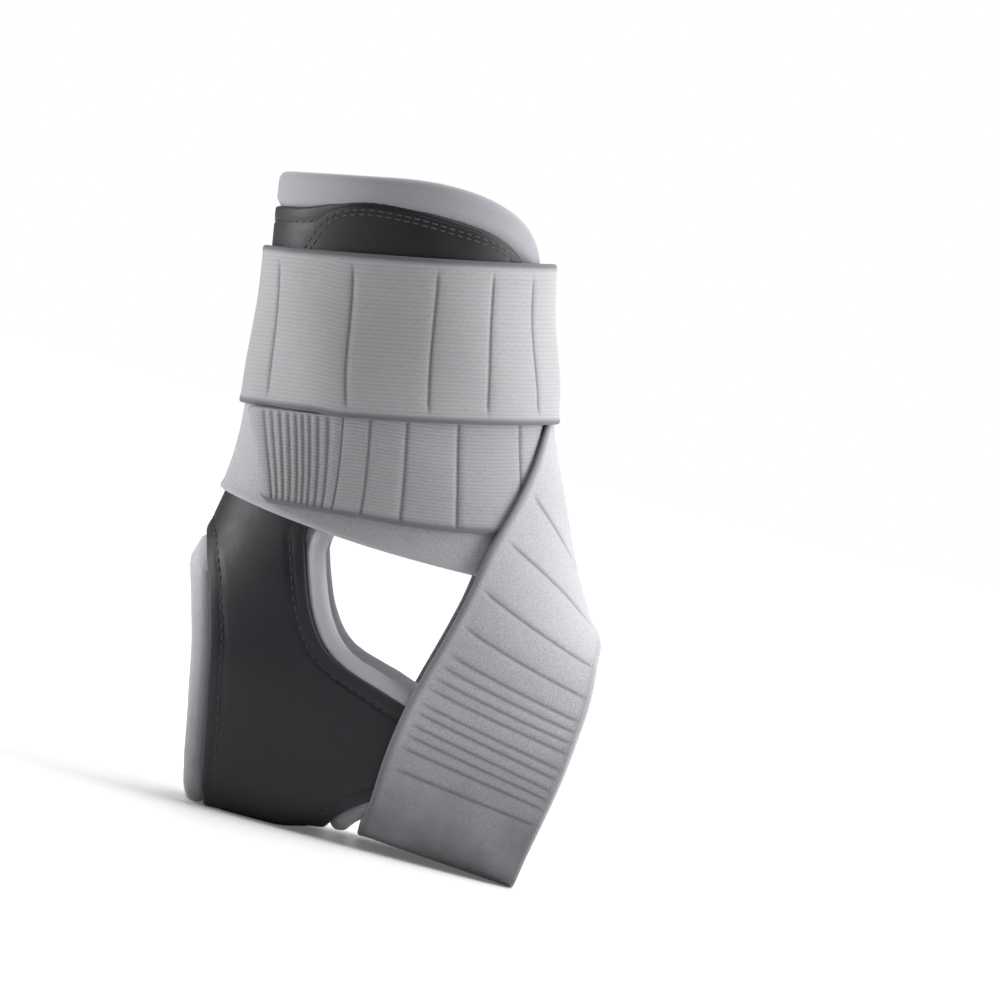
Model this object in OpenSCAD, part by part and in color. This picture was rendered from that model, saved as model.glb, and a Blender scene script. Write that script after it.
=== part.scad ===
// Soft ankle brace with an open heel, side windows and elastic straps crossed in a figure of eight.
// It stands on its sole: +X points to the toes, -Y is the near side, +Z is up. Lengths are millimetres.
// Every layer lies on one smooth form, the last: an angle round it (0 front, 90 near side, 180 back),
// a height and a distance out from it give each point.

/* [Last] */
// Height of the ankle line above the floor
ankle_z = 72; // [68:1:78]
// Backward lean of the leg part from upright, in degrees
leg_lean = 10.8; // [8:0.1:13]
// From the ankle line back to the heel
heel_reach = 57; // [53:1:62]
// From the ankle line back to the tendon above the heel
tendon_reach = 42.3; // [39:0.1:46]
// From the ankle line back to the calf at the top edge
calf_reach = 52.5; // [49:0.5:57]
// From the ankle line forward to the instep
instep_reach = 70; // [66:1:75]
// From the ankle line forward to the shin under the upper strap
shin_reach = 36.5; // [34:0.5:40]
// From the ankle line forward to the calf's front at the top edge
calf_front = 24.5; // [22:0.5:28]
// Width inside the heel
heel_width = 64; // [60:1:70]
// Width inside the ankle
ankle_width = 65; // [60:1:70]
// Width inside the narrow part above the ankle
shin_width = 57; // [53:1:62]
// Width inside the top edge
calf_width = 72; // [67:1:78]

/* [Body] */
// Height of the top edge above the floor, measured on the ankle line
top_z = 206; // [200:1:214]
// Thickness of the padded liner
liner_t = 2.6; // [2.2:0.1:3.2]
// Thickness of the outer shell
shell_t = 1.2; // [1:0.1:1.6]
// Clearance between two layers
layer_gap = 0.25; // [0.2:0.05:0.3]
// How far the liner shows past the shell along the top edge
top_border = 11; // [8:0.5:13]
// How far the liner shows past the shell round the windows and the heel
side_border = 6; // [4:0.5:7]
// How far the top edge drops where its front corners are rounded
corner_drop = 25; // [20:1:30]
// Angle from the front at which the liner's front edges stop, in degrees
liner_front_a = 18; // [14:1:24]
// Angle from the front at which the shell's front edges stop, in degrees
shell_front_a = 32; // [28:1:38]
// Radius of the turn from the side walls into the sole
sole_turn_r = 12; // [10:0.5:13]

/* [Stays] */
// Width of each side stay, as an angle round the last
stay_angle = 26; // [20:1:28]
// Thickness of the side stays and heel plates
stay_t = 0.8; // [0.6:0.1:0.9]
// Clearance of the side stays' ends inside the shell
stay_clear = 6; // [4:0.5:10]
// Thickness of the pocket covers over the stays
pocket_t = 0.7; // [0.5:0.1:0.8]
// How far below the top edge the pocket covers start, under the upper strap
pocket_depth = 29; // [27:0.5:32]

/* [Straps] */
// Thickness of the elastic straps
strap_t = 1.4; // [1.1:0.1:1.6]
// Width of the upper strap
upper_strap_w = 49.5; // [45:0.5:52]
// Height of the upper strap's bottom edge on the ankle line
upper_strap_z = 131.8; // [126:0.2:138]
// How far the lower strap shows below the upper strap
lower_strap_show = 33.3; // [28:0.1:38]
// How far the lower straps run up under the upper strap
strap_overlap = 8; // [6:0.5:9]
// How far the instep straps show below the lower strap at the side
wrap_show = 8.8; // [6:0.1:12]
// Where the stirrup strap's rear edge crosses under the arch
arch_strap_x = 19.5; // [17:0.5:22]
// Width of the stirrup strap under the arch
arch_strap_w = 50; // [46:0.5:54]
// Height of the arch at the stirrup strap's rear edge
arch_rise = 4; // [3:0.5:6]

/* [Tabs] */
// Angle of the near tab's hinge line, in degrees from the front
near_hinge_a = 107; // [103:1:109]
// Angle of the far tab's hinge line, in degrees from the front
far_hinge_a = 100; // [96:1:104]
// Angle of the upper tab's hinge line, in degrees from the front
upper_hinge_a = 60; // [56:1:68]
// Width of the slit at each hinge line, as an angle
hinge_slit_a = 0.8; // [0.6:0.1:1.2]
// Clearance between the lower tabs and the upper strap's edge
tab_clear = 1; // [0.6:0.1:1.6]
// Thickness of the hook patches
hook_t = 0.4; // [0.3:0.05:0.45]
// Thickness of the loop patches
loop_t = 0.3; // [0.2:0.05:0.35]
// Margin of a hook or loop patch inside its tab, as an angle
patch_margin_a = 5; // [4:0.5:7]

/* [Hidden] */

dark = "#3f4044";
light = "#c9c8cb";
elastic = "#bdbcc0";
stiff = "#e8e6df";
hook = "#8d8c90";

// Distances of each layer from the last
shell_in = liner_t + layer_gap;
shell_out = shell_in + shell_t;
pocket_in = shell_out + layer_gap;
pocket_out = pocket_in + pocket_t;
first_in = shell_out + 1.6 * layer_gap;
first_out = first_in + strap_t;
second_in = first_out + layer_gap;
third_in = second_in + strap_t + 1.4 * layer_gap;
loop_in = first_out + layer_gap;
hook_in = loop_in + loop_t + layer_gap;
tab_in = hook_in + hook_t + layer_gap;
tab_out = tab_in + strap_t;
upper_in = pocket_out + layer_gap;
upper_edge_in = third_in + strap_t + 1.5 * layer_gap;
upper_back_in = first_out + 1.5 * layer_gap;
stay_bed = liner_t - stay_t - 2 * layer_gap;
stay_in = stay_bed + 1.5 * layer_gap;

// Heights, on the ankle line where the edge leans
sole_z = shell_out;
turn_z = sole_z + sole_turn_r;
flex_low = ankle_z - 14;
flex_high = ankle_z + 14;
upper_low = upper_strap_z;
upper_top = upper_low + upper_strap_w / cos(leg_lean);
lower_strap_z = upper_low - lower_strap_show;
wrap_z = lower_strap_z - wrap_show;
cuff_front_low = wrap_z + 12.5;
heel_top = ankle_z + 7;

function mix(a, b, t) = a + (b - a) * t;
function ease(t) = let (c = min(1, max(0, t))) c * c * (3 - 2 * c);
function power(v, e) = sign(v) * pow(abs(v), e);
function side_angle(a) = let (r = abs(a)) r > 180 ? 360 - r : r;

// A smooth curve through a list of [station, value, value, ...]
function span_at(list, s, i = 0) =
    i >= len(list) - 2 || s < list[i + 1][0] ? i : span_at(list, s, i + 1);
function rate(list, i, k) =
    let (a = max(i - 1, 0), b = min(i + 1, len(list) - 1))
    (list[b][k] - list[a][k]) / (list[b][0] - list[a][0]);
function curve(list, s, k = 1) =
    let (i = span_at(list, s), h = list[i + 1][0] - list[i][0], t = (s - list[i][0]) / h)
    list[i][k] * (2 * t - 3) * t * t + list[i][k] + h * rate(list, i, k) * t * (t - 1) * (t - 1)
        + list[i + 1][k] * (3 - 2 * t) * t * t + h * rate(list, i + 1, k) * t * t * (t - 1);

// Sections of the last: height, back, front, half width, squareness
sections = [
    [0, 7 - heel_reach, instep_reach + 80, heel_width / 2 - 2, 2.6],
    [ankle_z - 42, 0.5 - heel_reach, instep_reach + 65, heel_width / 2, 2.6],
    [ankle_z - 22, -heel_reach, instep_reach + 32, heel_width / 2 + 0.5, 2.6],
    [ankle_z, -mix(heel_reach, tendon_reach, 0.55), instep_reach + 2, ankle_width / 2, 2.4],
    [ankle_z + 16, -mix(heel_reach, tendon_reach, 0.86), mix(instep_reach, shin_reach, 0.29),
        mix(ankle_width, shin_width, 0.5) / 2, 2.25],
    [ankle_z + 38, -tendon_reach, mix(instep_reach, shin_reach, 0.63), shin_width / 2, 2.15],
    [ankle_z + 68, -mix(tendon_reach, calf_reach, 0.19), shin_reach,
        mix(shin_width, calf_width, 0.14) / 2, 2.1],
    [ankle_z + 100, -mix(tendon_reach, calf_reach, 0.58), mix(shin_reach, calf_front, 0.42),
        mix(shin_width, calf_width, 0.6) / 2, 2.1],
    [ankle_z + 133, -calf_reach, calf_front, calf_width / 2, 2.1]
];
function last_point(a, z) =
    let (back = curve(sections, z, 1), front = curve(sections, z, 2),
        half = curve(sections, z, 3), e = 2 / curve(sections, z, 4))
    [(back + front) / 2 + (front - back) / 2 * power(cos(a), e), -half * power(sin(a), e), z];
function last_normal(a, z) =
    let (n = cross(last_point(a, z + 0.5) - last_point(a, z - 0.5),
        last_point(a + 0.5, z) - last_point(a - 0.5, z)))
    n / norm(n);
function on_last(a, z, t) = last_point(a, z) + t * last_normal(a, z);

// The angle at which a side view of a layer t out from the last shows x at height z
function angle_at(x, z, t) =
    let (back = curve(sections, z, 1) - t, front = curve(sections, z, 2) + t,
        share = (2 * x - back - front) / (front - back))
    acos(power(min(1, max(-1, share)), curve(sections, z, 4) / 2));

// The height at angle a of a plane square to the leaning leg part
function leaning(z0, a, n = 3) =
    n == 0 ? z0 : z0 + tan(leg_lean) * last_point(a, leaning(z0, a, n - 1))[0];
function corner(a, from, to) =
    let (t = min(1, max(0, (from - side_angle(a)) / (from - to))))
    corner_drop * (0.35 * t + 0.65 * (1 - sqrt(1 - t * t)));
function liner_top(a) = leaning(top_z, a) - corner(a, 75, liner_front_a);
function shell_top(a) =
    leaning(top_z - top_border, a) - corner(a, 85, shell_front_a)
        + 3.5 * ease(1 - abs(side_angle(a) - 108) / 40);
function under_upper(a) = leaning(upper_low, a) + strap_overlap;
function below_upper(a) = leaning(upper_low, a) - tab_clear;

// A closed sheet of cols by rows cells between two distances from the last.
// place(u, v, t) gives the point at shares u and v of the sheet and distance t.
module cloth(cols, rows, place, inner, outer, ring = false) {
    w = ring ? cols : cols + 1;
    half = w * (rows + 1);
    function at(f, u, v) = is_function(f) ? f(u, v) : f;
    function spot(i, j) = (i % w) + j * w;
    function both(a, b, c, d) = [[a, b, c], [a, c, d]];
    function rim(p, q) = both(q, p, p + half, q + half);
    skin = [for (side = [outer, inner], j = [0 : rows], i = [0 : w - 1])
        place(i / cols, j / rows, at(side, i / cols, j / rows))];
    faces = [
        for (j = [0 : rows - 1], i = [0 : cols - 1])
            let (a = spot(i, j), b = spot(i + 1, j), c = spot(i + 1, j + 1), d = spot(i, j + 1))
            each concat(both(a, b, c, d), both(d + half, c + half, b + half, a + half)),
        for (i = [0 : cols - 1])
            each concat(rim(spot(i, 0), spot(i + 1, 0)), rim(spot(i + 1, rows), spot(i, rows))),
        if (!ring) for (j = [0 : rows - 1])
            each concat(rim(spot(cols, j), spot(cols, j + 1)), rim(spot(0, j + 1), spot(0, j)))
    ];
    polyhedron(skin, faces);
}

// A sheet between two angles whose lower and upper edges are heights given at each angle
module band(cols, rows, a0, a1, low, high, inner, outer, ring = false) {
    cloth(cols, rows, function (u, v, t)
        let (a = mix(a0, a1, u)) on_last(a, mix(low(a), high(a), v), t),
        inner, outer, ring);
}

// Side outline of the shell, from the sole up to the leg part: height, heel edge, front edge
outline = [
    [0, -31, 8], [6, -33, 11.5], [12, -34.2, 17], [18, -35.3, 25], [24, -36.3, 36], [29, -37.2, 43],
    [34, -38.2, 45], [39, -39.1, 41], [44, -40, 30], [49, -41, 15], [ankle_z - 18, -42.3, 0.5],
    [flex_low, -43.4, -6], [ankle_z - 6, -45.5, -12], [ankle_z + 4, -48, -16.3],
    [flex_high, -50, -19.5]
];
function border_at(z, k, border) =
    let (slope = curve(outline, z + 1, k) - curve(outline, z - 1, k))
    border * sqrt(1 + min(6, slope * slope / 4));
function heel_edge(z, border) = curve(outline, z, 1) - border_at(z, 1, border);
function front_edge(z, border) = curve(outline, z, 2) + border_at(z, 2, border);

// A point on a side wall, or on its turn into the sole where the height is below the turn's centre
function wall(x, z, t) =
    z >= turn_z ? on_last(angle_at(x, z, t), z, t)
    : let (turn = asin(min(1, (turn_z - z) / sole_turn_r)),
        half = -on_last(angle_at(x, turn_z, t), turn_z, 0)[1] - sole_turn_r)
        [x, -half - (sole_turn_r + t) * cos(turn), turn_z - (sole_turn_r + t) * sin(turn)];
function heel_wall(u, v, t, border) =
    let (turn_share = 0.24,
        z = v < turn_share ? turn_z - sole_turn_r * cos(90 * v / turn_share)
            : mix(turn_z, flex_low - layer_gap / 2, (v - turn_share) / (1 - turn_share)),
        edge_z = z - sole_z * (1 - ease(v)))
    wall(mix(front_edge(edge_z, border), heel_edge(edge_z, border), u), z, t);

module heel_panel() {
    color(dark)
        cloth(8, 13, function (u, v, t) heel_wall(u, v, t, 0), shell_in, shell_out);
}
module heel_liner() {
    bed = function (u, v)
        min(u, 1 - u) < 0.2 || v < 0.35 || v > 0.95 ? liner_t : stay_bed;
    color(light)
        cloth(8, 13, function (u, v, t) heel_wall(u, v, t, side_border), 0, bed);
}
module heel_plate() {
    color(stiff)
        cloth(4, 5, function (u, v, t)
            heel_wall(mix(0.42, 0.7, u), mix(0.5, 0.82, v), t, side_border),
            stay_in, stay_in + stay_t);
}

// Half width of the flat sole at x, inside the turned walls
function sole_half(x) = -last_point(angle_at(x, turn_z, 0), turn_z)[1] - sole_turn_r;
module sole_sheet(border, low, thick) {
    back = heel_edge(0, border);
    front = front_edge(0, border);
    steps = 8;
    near = [for (i = [0 : steps])
        let (x = mix(back, front, i / steps)) [x, -sole_half(x) + layer_gap]];
    far = [for (i = [steps : -1 : 0]) [near[i][0], -near[i][1]]];
    translate([0, 0, low]) linear_extrude(thick) polygon(concat(near, far));
}
module sole_panel() {
    color(dark) sole_sheet(0, 0, shell_t);
}
module sole_liner() {
    color(light) sole_sheet(side_border, shell_t + layer_gap, liner_t);
}

// The flexing part round the tendon, between the heel walls and the cuff
function front_angle(z, border, t) = angle_at(front_edge(z, border), z, t);
function heel_share(border, t) =
    let (front = front_angle(flex_low, border, t),
        heel = angle_at(heel_edge(flex_low, border), flex_low, t))
    (heel - front) / (360 - 2 * front);
// Shares round the part: even over the heel walls, then crowded where the heel arch starts
function flex_share(u, wall_share) =
    let (m = 2 * min(u, 1 - u),
        s = m < 0.3 ? wall_share * m / 0.3 : mix(wall_share, 0.5, pow((m - 0.3) / 0.7, 1.5)))
    u < 0.5 ? s : 1 - s;
function flex_point(u, v, t, border) =
    let (wall_share = heel_share(border, t), s = flex_share(u, wall_share),
        to_back = max(0, min(s, 1 - s) - wall_share) / (0.5 - wall_share),
        arch = sqrt(1 - (1 - to_back) * (1 - to_back)),
        low = mix(flex_low + layer_gap / 2, heel_top - border, arch),
        z = mix(low, flex_high - layer_gap / 2, v),
        front = front_angle(z, border, t))
    on_last(mix(front, 360 - front, s), z, t);
module achilles_panel() {
    color(dark)
        cloth(36, 4, function (u, v, t) flex_point(u, v, t, 0), shell_in, shell_out);
}
module achilles_liner() {
    color(light)
        cloth(36, 4, function (u, v, t) flex_point(u, v, t, side_border), 0, liner_t);
}

// The cuff round the calf, open at the front
function cuff_low(a, border) =
    let (window = front_angle(flex_high, border, 0))
    mix(flex_high, cuff_front_low, ease((window - side_angle(a)) / 12)) + layer_gap / 2;
module cuff_liner() {
    bed = function (u, v)
        abs(side_angle(mix(liner_front_a, 360 - liner_front_a, u)) - 90) < stay_angle * 0.85
            ? stay_bed : liner_t;
    color(light)
        band(36, 12, liner_front_a, 360 - liner_front_a, function (a) cuff_low(a, side_border),
            function (a) liner_top(a), 0, bed);
}
module cuff_panel() {
    color(dark)
        band(40, 12, shell_front_a, 360 - shell_front_a, function (a) cuff_low(a, 0),
            function (a) shell_top(a), shell_in, shell_out);
}
module stay() {
    color(stiff)
        band(5, 9, 90 - stay_angle / 2, 90 + stay_angle / 2, function (a) cuff_front_low + stay_clear,
            function (a) shell_top(a) - stay_clear, stay_in, stay_in + stay_t);
}
pocket_front_a = 46;
pocket_back_a = 142;
module stay_pocket() {
    middle_a = (pocket_front_a + pocket_back_a) / 2;
    half_a = (pocket_back_a - pocket_front_a) / 2;
    low = function (a) leaning(top_z - pocket_depth, a);
    arch = function (a) shell_top(a) - 1.5 - 7 * pow((a - middle_a) / half_a, 4);
    color(dark)
        band(12, 2, pocket_front_a, pocket_back_a, low,
            function (a) max(low(a) + 5.4, arch(a)), pocket_in, pocket_out);
}

// The near instep strap, from the arch up the near side, over the front to the far side:
// station, upper edge angle, upper edge height, lower edge angle, lower edge height
function side_station(s, x_up, z_up, x_low, z_low) =
    [s, angle_at(x_up, z_up, first_out), z_up, angle_at(x_low, z_low, first_out), z_low];
arch_strap_front = arch_strap_x + arch_strap_w;
instep_path = [
    side_station(0, arch_strap_x, 17, arch_strap_front + 0.5, 11),
    side_station(1, arch_strap_x + 1, 32, arch_strap_front + 3.5, 25),
    side_station(2, arch_strap_x + 3.5, ankle_z - 26, arch_strap_front + 6.5, ankle_z - 32),
    side_station(3, arch_strap_x + 7.5, ankle_z - 12, arch_strap_front + 8.5, ankle_z - 20),
    side_station(4, arch_strap_x + 12, ankle_z + 4, arch_strap_front + 8.5, ankle_z - 10),
    [5, angle_at(arch_strap_x + 16.5, ankle_z + 19, third_in), ankle_z + 19, 8, ankle_z - 1],
    [6, angle_at(arch_strap_x + 21.5, ankle_z + 36, third_in), ankle_z + 36, -10, ankle_z + 6],
    [7, angle_at(arch_strap_x + 25, ankle_z + 52, third_in), ankle_z + 52, -25, wrap_z - 7],
    [8, 12, under_upper(12) - 6, -40, wrap_z - 2.5],
    [9, -15, under_upper(-15), -58, wrap_z - 0.9],
    [10, -55, under_upper(-55), -78, wrap_z - 0.3],
    [11, -far_hinge_a, under_upper(-far_hinge_a), -far_hinge_a, wrap_z + 0.6],
    [12, -140, under_upper(-140), -140, wrap_z + 3.4],
    [13, -180, under_upper(-180), -180, wrap_z + 6],
    [14, -222, under_upper(-222), -222, wrap_z + 3.8],
    [15, -261, under_upper(-261), -261, wrap_z + 1]
];
function instep_point(s, u, t) =
    on_last(mix(curve(instep_path, s, 3), curve(instep_path, s, 1), u),
        mix(curve(instep_path, s, 4), curve(instep_path, s, 2), u), t);
module instep_length(s0, s1, cols, rows, inner) {
    color(elastic)
        cloth(cols, rows, function (u, v, t) instep_point(mix(s0, s1, v), u, t),
            function (u, v) inner(mix(s0, s1, v)), function (u, v) inner(mix(s0, s1, v)) + strap_t);
}
seam = 0.02;
// The near strap lies outermost in front, and comes down to its tab on the far side
function near_strap_in(s) =
    s < 10 ? mix(first_in, third_in, ease((s - 3) / 1.9)) : mix(third_in, tab_in, ease(s - 10));
module near_strap_crossing() {
    instep_length(3 + seam, 6 - seam, 6, 14, function (s) near_strap_in(s));
}
module near_strap_wrap() {
    instep_length(6 + seam, 11 - seam, 6, 32, function (s) near_strap_in(s));
}
module far_strap_crossing() {
    mirror([0, 1, 0]) instep_length(3 + seam, 6 - seam, 6, 14, function (s) first_in);
}
module far_strap_wrap() {
    mirror([0, 1, 0]) instep_length(6 + seam, 15, 6, 48, function (s) first_in);
}

// The stirrup strap: down the far side, under the arch and up the near side
function stirrup_point(u, v, t) =
    let (side = v < 0.5 ? -1 : 1, s = abs(2 * v - 1), wall_share = 0.52, turn_share = 0.24)
    s > 1 - wall_share
        ? let (p = instep_point((3 - seam) * (s - 1 + wall_share) / wall_share, u, t))
            [p[0], side * p[1], p[2]]
        : let (foot = instep_point(0, u, first_out), r = foot[2] - arch_rise * u - (first_out - t),
            half = -foot[1] - foot[2] + arch_rise * u,
            turn = 90 * min(1, (1 - wall_share - s) / turn_share),
            flat = s / (1 - wall_share - turn_share))
            [foot[0], -side * (half * min(1, flat) + r * cos(turn)), foot[2] - r * sin(turn)];
module stirrup_strap() {
    color(elastic)
        cloth(6, 26, function (u, v, t) stirrup_point(u, v, t), first_in, first_out);
}

// The lower strap: from the far side over the front to its tab behind the near side
function lower_edge(a) = lower_strap_z + 5 * cos(a) + 2.6 * ease((90 - abs(a)) / 90);
function lower_in(a) = mix(second_in, tab_in, ease((a - 60) / 40));
module lower_strap() {
    a0 = -46;
    a1 = near_hinge_a - hinge_slit_a / 2;
    inner = function (u, v) lower_in(mix(a0, a1, u));
    color(elastic)
        band(26, 5, a0, a1, function (a) lower_edge(a), function (a) under_upper(a),
            inner, function (u, v) inner(u, v) + strap_t);
}
// A tab is a band whose end slants: its upper corner runs further round than its lower one
module tab_band(cols, rows, a0, low_end, high_end, low, high, inner, outer) {
    cloth(cols, rows, function (u, v, t)
        let (a = mix(a0, mix(low_end, high_end, v), u)) on_last(a, mix(low(a), high(a), v), t),
        inner, outer);
}
lower_tab_low_a = 136;
lower_tab_high_a = 158;
module lower_strap_tab() {
    color(elastic)
        tab_band(8, 4, near_hinge_a + hinge_slit_a / 2, lower_tab_low_a, lower_tab_high_a,
            function (a) lower_edge(a), function (a) below_upper(a), tab_in, tab_out);
}
module near_patch(inner, thick, shrink) {
    margin = patch_margin_a + shrink;
    tab_band(5, 2, near_hinge_a + margin, lower_tab_low_a - margin, lower_tab_high_a - margin,
        function (a) lower_edge(a) + margin, function (a) below_upper(a) - margin,
        inner, inner + thick);
}
module lower_tab_hook_patch() {
    color(hook) near_patch(hook_in, hook_t, 0);
}
module near_tab_loop_patch() {
    color(light) near_patch(loop_in, loop_t, -1);
}

// The near instep strap's tab, behind the far side
far_tab_end_a = 142;
function wrap_edge(a) = wrap_z + 6 * ease((abs(a) - 85) / 95);
module near_strap_tab() {
    color(elastic)
        mirror([0, 1, 0]) tab_band(7, 4, far_hinge_a + hinge_slit_a / 2, far_tab_end_a, far_tab_end_a,
            function (a) wrap_edge(a), function (a) below_upper(a), tab_in, tab_out);
}
module far_patch(inner, thick, shrink) {
    margin = patch_margin_a + shrink;
    mirror([0, 1, 0]) tab_band(5, 2, far_hinge_a + margin, far_tab_end_a - margin,
        far_tab_end_a - margin, function (a) wrap_edge(a) + margin + 3,
        function (a) below_upper(a) - margin, inner, inner + thick);
}
module near_tab_hook_patch() {
    color(hook) far_patch(hook_in, hook_t, 0);
}
module far_tab_loop_patch() {
    color(light) far_patch(loop_in, loop_t, -1);
}
// The upper strap closes round the calf, and flares over the straps that it covers
function upper_edge_lift(a) = mix(upper_back_in, upper_edge_in, ease((130 - side_angle(a)) / 14));
function upper_strap_in(a, v) =
    mix(upper_edge_lift(a), upper_in, ease((v * upper_strap_w - strap_overlap - 1) / 28));
module upper_strap() {
    color(elastic)
        band(48, 6, 0, 360, function (a) leaning(upper_low, a), function (a) leaning(upper_top, a),
            function (u, v) upper_strap_in(360 * u, v),
            function (u, v) upper_strap_in(360 * u, v) + strap_t, ring = true);
}
upper_tab_end_a = 112.5;
upper_tab_inset = 2;
// A layer on the upper strap: its edges' inset, its distance above the strap, its end margin
module upper_layer(inset, above, thick, margin_a) {
    a0 = upper_hinge_a + margin_a;
    a1 = upper_tab_end_a - margin_a;
    low = inset / upper_strap_w;
    height = function (a, v) mix(leaning(upper_low, a), leaning(upper_top, a), v);
    floor_at = function (u, v)
        upper_strap_in(mix(a0, a1, u), mix(low, 1 - low, v)) + strap_t + above;
    mirror([0, 1, 0]) band(7, 10, a0, a1, function (a) height(a, low), function (a) height(a, 1 - low),
        floor_at, function (u, v) floor_at(u, v) + thick);
}
module upper_tab_loop_patch() {
    margin = patch_margin_a - 1;
    color(light) upper_layer(upper_tab_inset + margin, layer_gap, loop_t, margin);
}
module upper_tab_hook_patch() {
    margin = patch_margin_a;
    color(hook) upper_layer(upper_tab_inset + margin, loop_t + 2 * layer_gap, hook_t, margin);
}
module upper_strap_tab() {
    color(elastic) upper_layer(upper_tab_inset, loop_t + hook_t + 3 * layer_gap, strap_t, 0);
}

sole_panel();
sole_liner();
heel_panel();  // near_heel_panel
mirror([0, 1, 0]) heel_panel();  // far_heel_panel
heel_liner();  // near_heel_liner
mirror([0, 1, 0]) heel_liner();  // far_heel_liner
heel_plate();  // near_heel_plate
mirror([0, 1, 0]) heel_plate();  // far_heel_plate
stirrup_strap();
achilles_panel();
achilles_liner();
near_strap_crossing();
far_strap_crossing();
cuff_liner();
cuff_panel();
stay();  // near_stay
mirror([0, 1, 0]) stay();  // far_stay
stay_pocket();  // near_stay_pocket
mirror([0, 1, 0]) stay_pocket();  // far_stay_pocket
far_strap_wrap();
near_strap_wrap();
lower_strap();
upper_strap();
near_tab_loop_patch();
far_tab_loop_patch();
upper_tab_loop_patch();
lower_strap_tab();
lower_tab_hook_patch();
near_strap_tab();
near_tab_hook_patch();
upper_strap_tab();
upper_tab_hook_patch();
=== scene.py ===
# %% [markdown]
# # A soft ankle brace, dressed in cloth
# The CAD model says where every layer of the brace lies and how it bends. Blender adds what makes
# it look sewn: padded edges, elastic webbing, stitches and fuzz. The frame is loaded first and never
# changed, so each piece made below is laid in the place that its solid holds.

# %% Load the frame
import math
from contextlib import contextmanager
from functools import partial

import bmesh
import bpy
import numpy as np
from mathutils import Matrix, Vector


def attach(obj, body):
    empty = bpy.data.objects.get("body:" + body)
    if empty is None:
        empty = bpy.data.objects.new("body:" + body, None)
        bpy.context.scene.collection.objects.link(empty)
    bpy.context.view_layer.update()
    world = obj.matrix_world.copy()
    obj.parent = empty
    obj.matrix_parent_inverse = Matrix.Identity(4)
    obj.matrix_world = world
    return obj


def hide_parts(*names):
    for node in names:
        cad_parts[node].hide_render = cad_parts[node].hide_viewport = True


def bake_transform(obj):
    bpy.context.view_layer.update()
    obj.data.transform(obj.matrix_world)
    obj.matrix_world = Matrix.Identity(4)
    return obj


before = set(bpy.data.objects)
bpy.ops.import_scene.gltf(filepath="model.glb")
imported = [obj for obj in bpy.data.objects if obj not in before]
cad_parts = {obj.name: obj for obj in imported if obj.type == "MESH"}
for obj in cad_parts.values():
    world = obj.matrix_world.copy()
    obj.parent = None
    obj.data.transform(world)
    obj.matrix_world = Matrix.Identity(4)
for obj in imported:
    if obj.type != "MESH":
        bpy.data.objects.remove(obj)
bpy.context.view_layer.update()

# %% [markdown]
# ## The last
# A shoemaker shapes every layer over one wooden form, the last. Here the last is a formula: an angle
# round it, a height, and a distance out from it give a point. Sculpting each layer by hand would let
# layers cut through each other. With one formula, a layer lies outside another wherever its distance
# is larger.
# Angles are degrees from the front: 90 is the near side, 180 the back, -90 the far side. Lengths are
# millimetres until a mesh is made.

# %% Driving sizes of the last
ANKLE_Z, CUFF_LEAN, TOP_Z = 72, 10.8, 206
HEEL_REACH, TENDON_REACH, CALF_REACH = 57, 42.3, 52.5
INSTEP_REACH, SHIN_REACH, CALF_FRONT = 70, 36.5, 24.5
HEEL_WIDTH, ANKLE_WIDTH, SHIN_WIDTH, CALF_WIDTH = 64, 65, 57, 72


def mix(a, b, t):
    return a + (b - a) * t


# Sections of the last: height, back, front, half width, squareness
SECTIONS = np.array([
    [0, 7 - HEEL_REACH, INSTEP_REACH + 80, HEEL_WIDTH / 2 - 2, 2.6],
    [ANKLE_Z - 42, 0.5 - HEEL_REACH, INSTEP_REACH + 65, HEEL_WIDTH / 2, 2.6],
    [ANKLE_Z - 22, -HEEL_REACH, INSTEP_REACH + 32, HEEL_WIDTH / 2 + 0.5, 2.6],
    [ANKLE_Z, -mix(HEEL_REACH, TENDON_REACH, 0.55), INSTEP_REACH + 2, ANKLE_WIDTH / 2, 2.4],
    [ANKLE_Z + 16, -mix(HEEL_REACH, TENDON_REACH, 0.86), mix(INSTEP_REACH, SHIN_REACH, 0.29),
     mix(ANKLE_WIDTH, SHIN_WIDTH, 0.5) / 2, 2.25],
    [ANKLE_Z + 38, -TENDON_REACH, mix(INSTEP_REACH, SHIN_REACH, 0.63), SHIN_WIDTH / 2, 2.15],
    [ANKLE_Z + 68, -mix(TENDON_REACH, CALF_REACH, 0.19), SHIN_REACH,
     mix(SHIN_WIDTH, CALF_WIDTH, 0.14) / 2, 2.1],
    [ANKLE_Z + 100, -mix(TENDON_REACH, CALF_REACH, 0.58), mix(SHIN_REACH, CALF_FRONT, 0.42),
     mix(SHIN_WIDTH, CALF_WIDTH, 0.6) / 2, 2.1],
    [ANKLE_Z + 133, -CALF_REACH, CALF_FRONT, CALF_WIDTH / 2, 2.1],
])
BACK, FRONT, HALF_WIDTH, SQUARENESS = 1, 2, 3, 4
print(f"last: {len(SECTIONS)} sections, the highest at {SECTIONS[-1, 0]:.0f} mm")

# %% Points on the last
NORMAL_STEP = 0.5
# Waves of cloth that doesn't lie quite true: depth, count round the last, turn per mm up, start
SLACK_WAVES = [(0.3, 3, 0.06, 0), (0.22, 5, -0.11, 1.3)]
SLACK_Z, SLACK_RISE = 20, 30


def floats(*values):
    """Numbers or arrays as float arrays of one shape."""
    return np.broadcast_arrays(*(np.asarray(value, float) for value in values))


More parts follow.
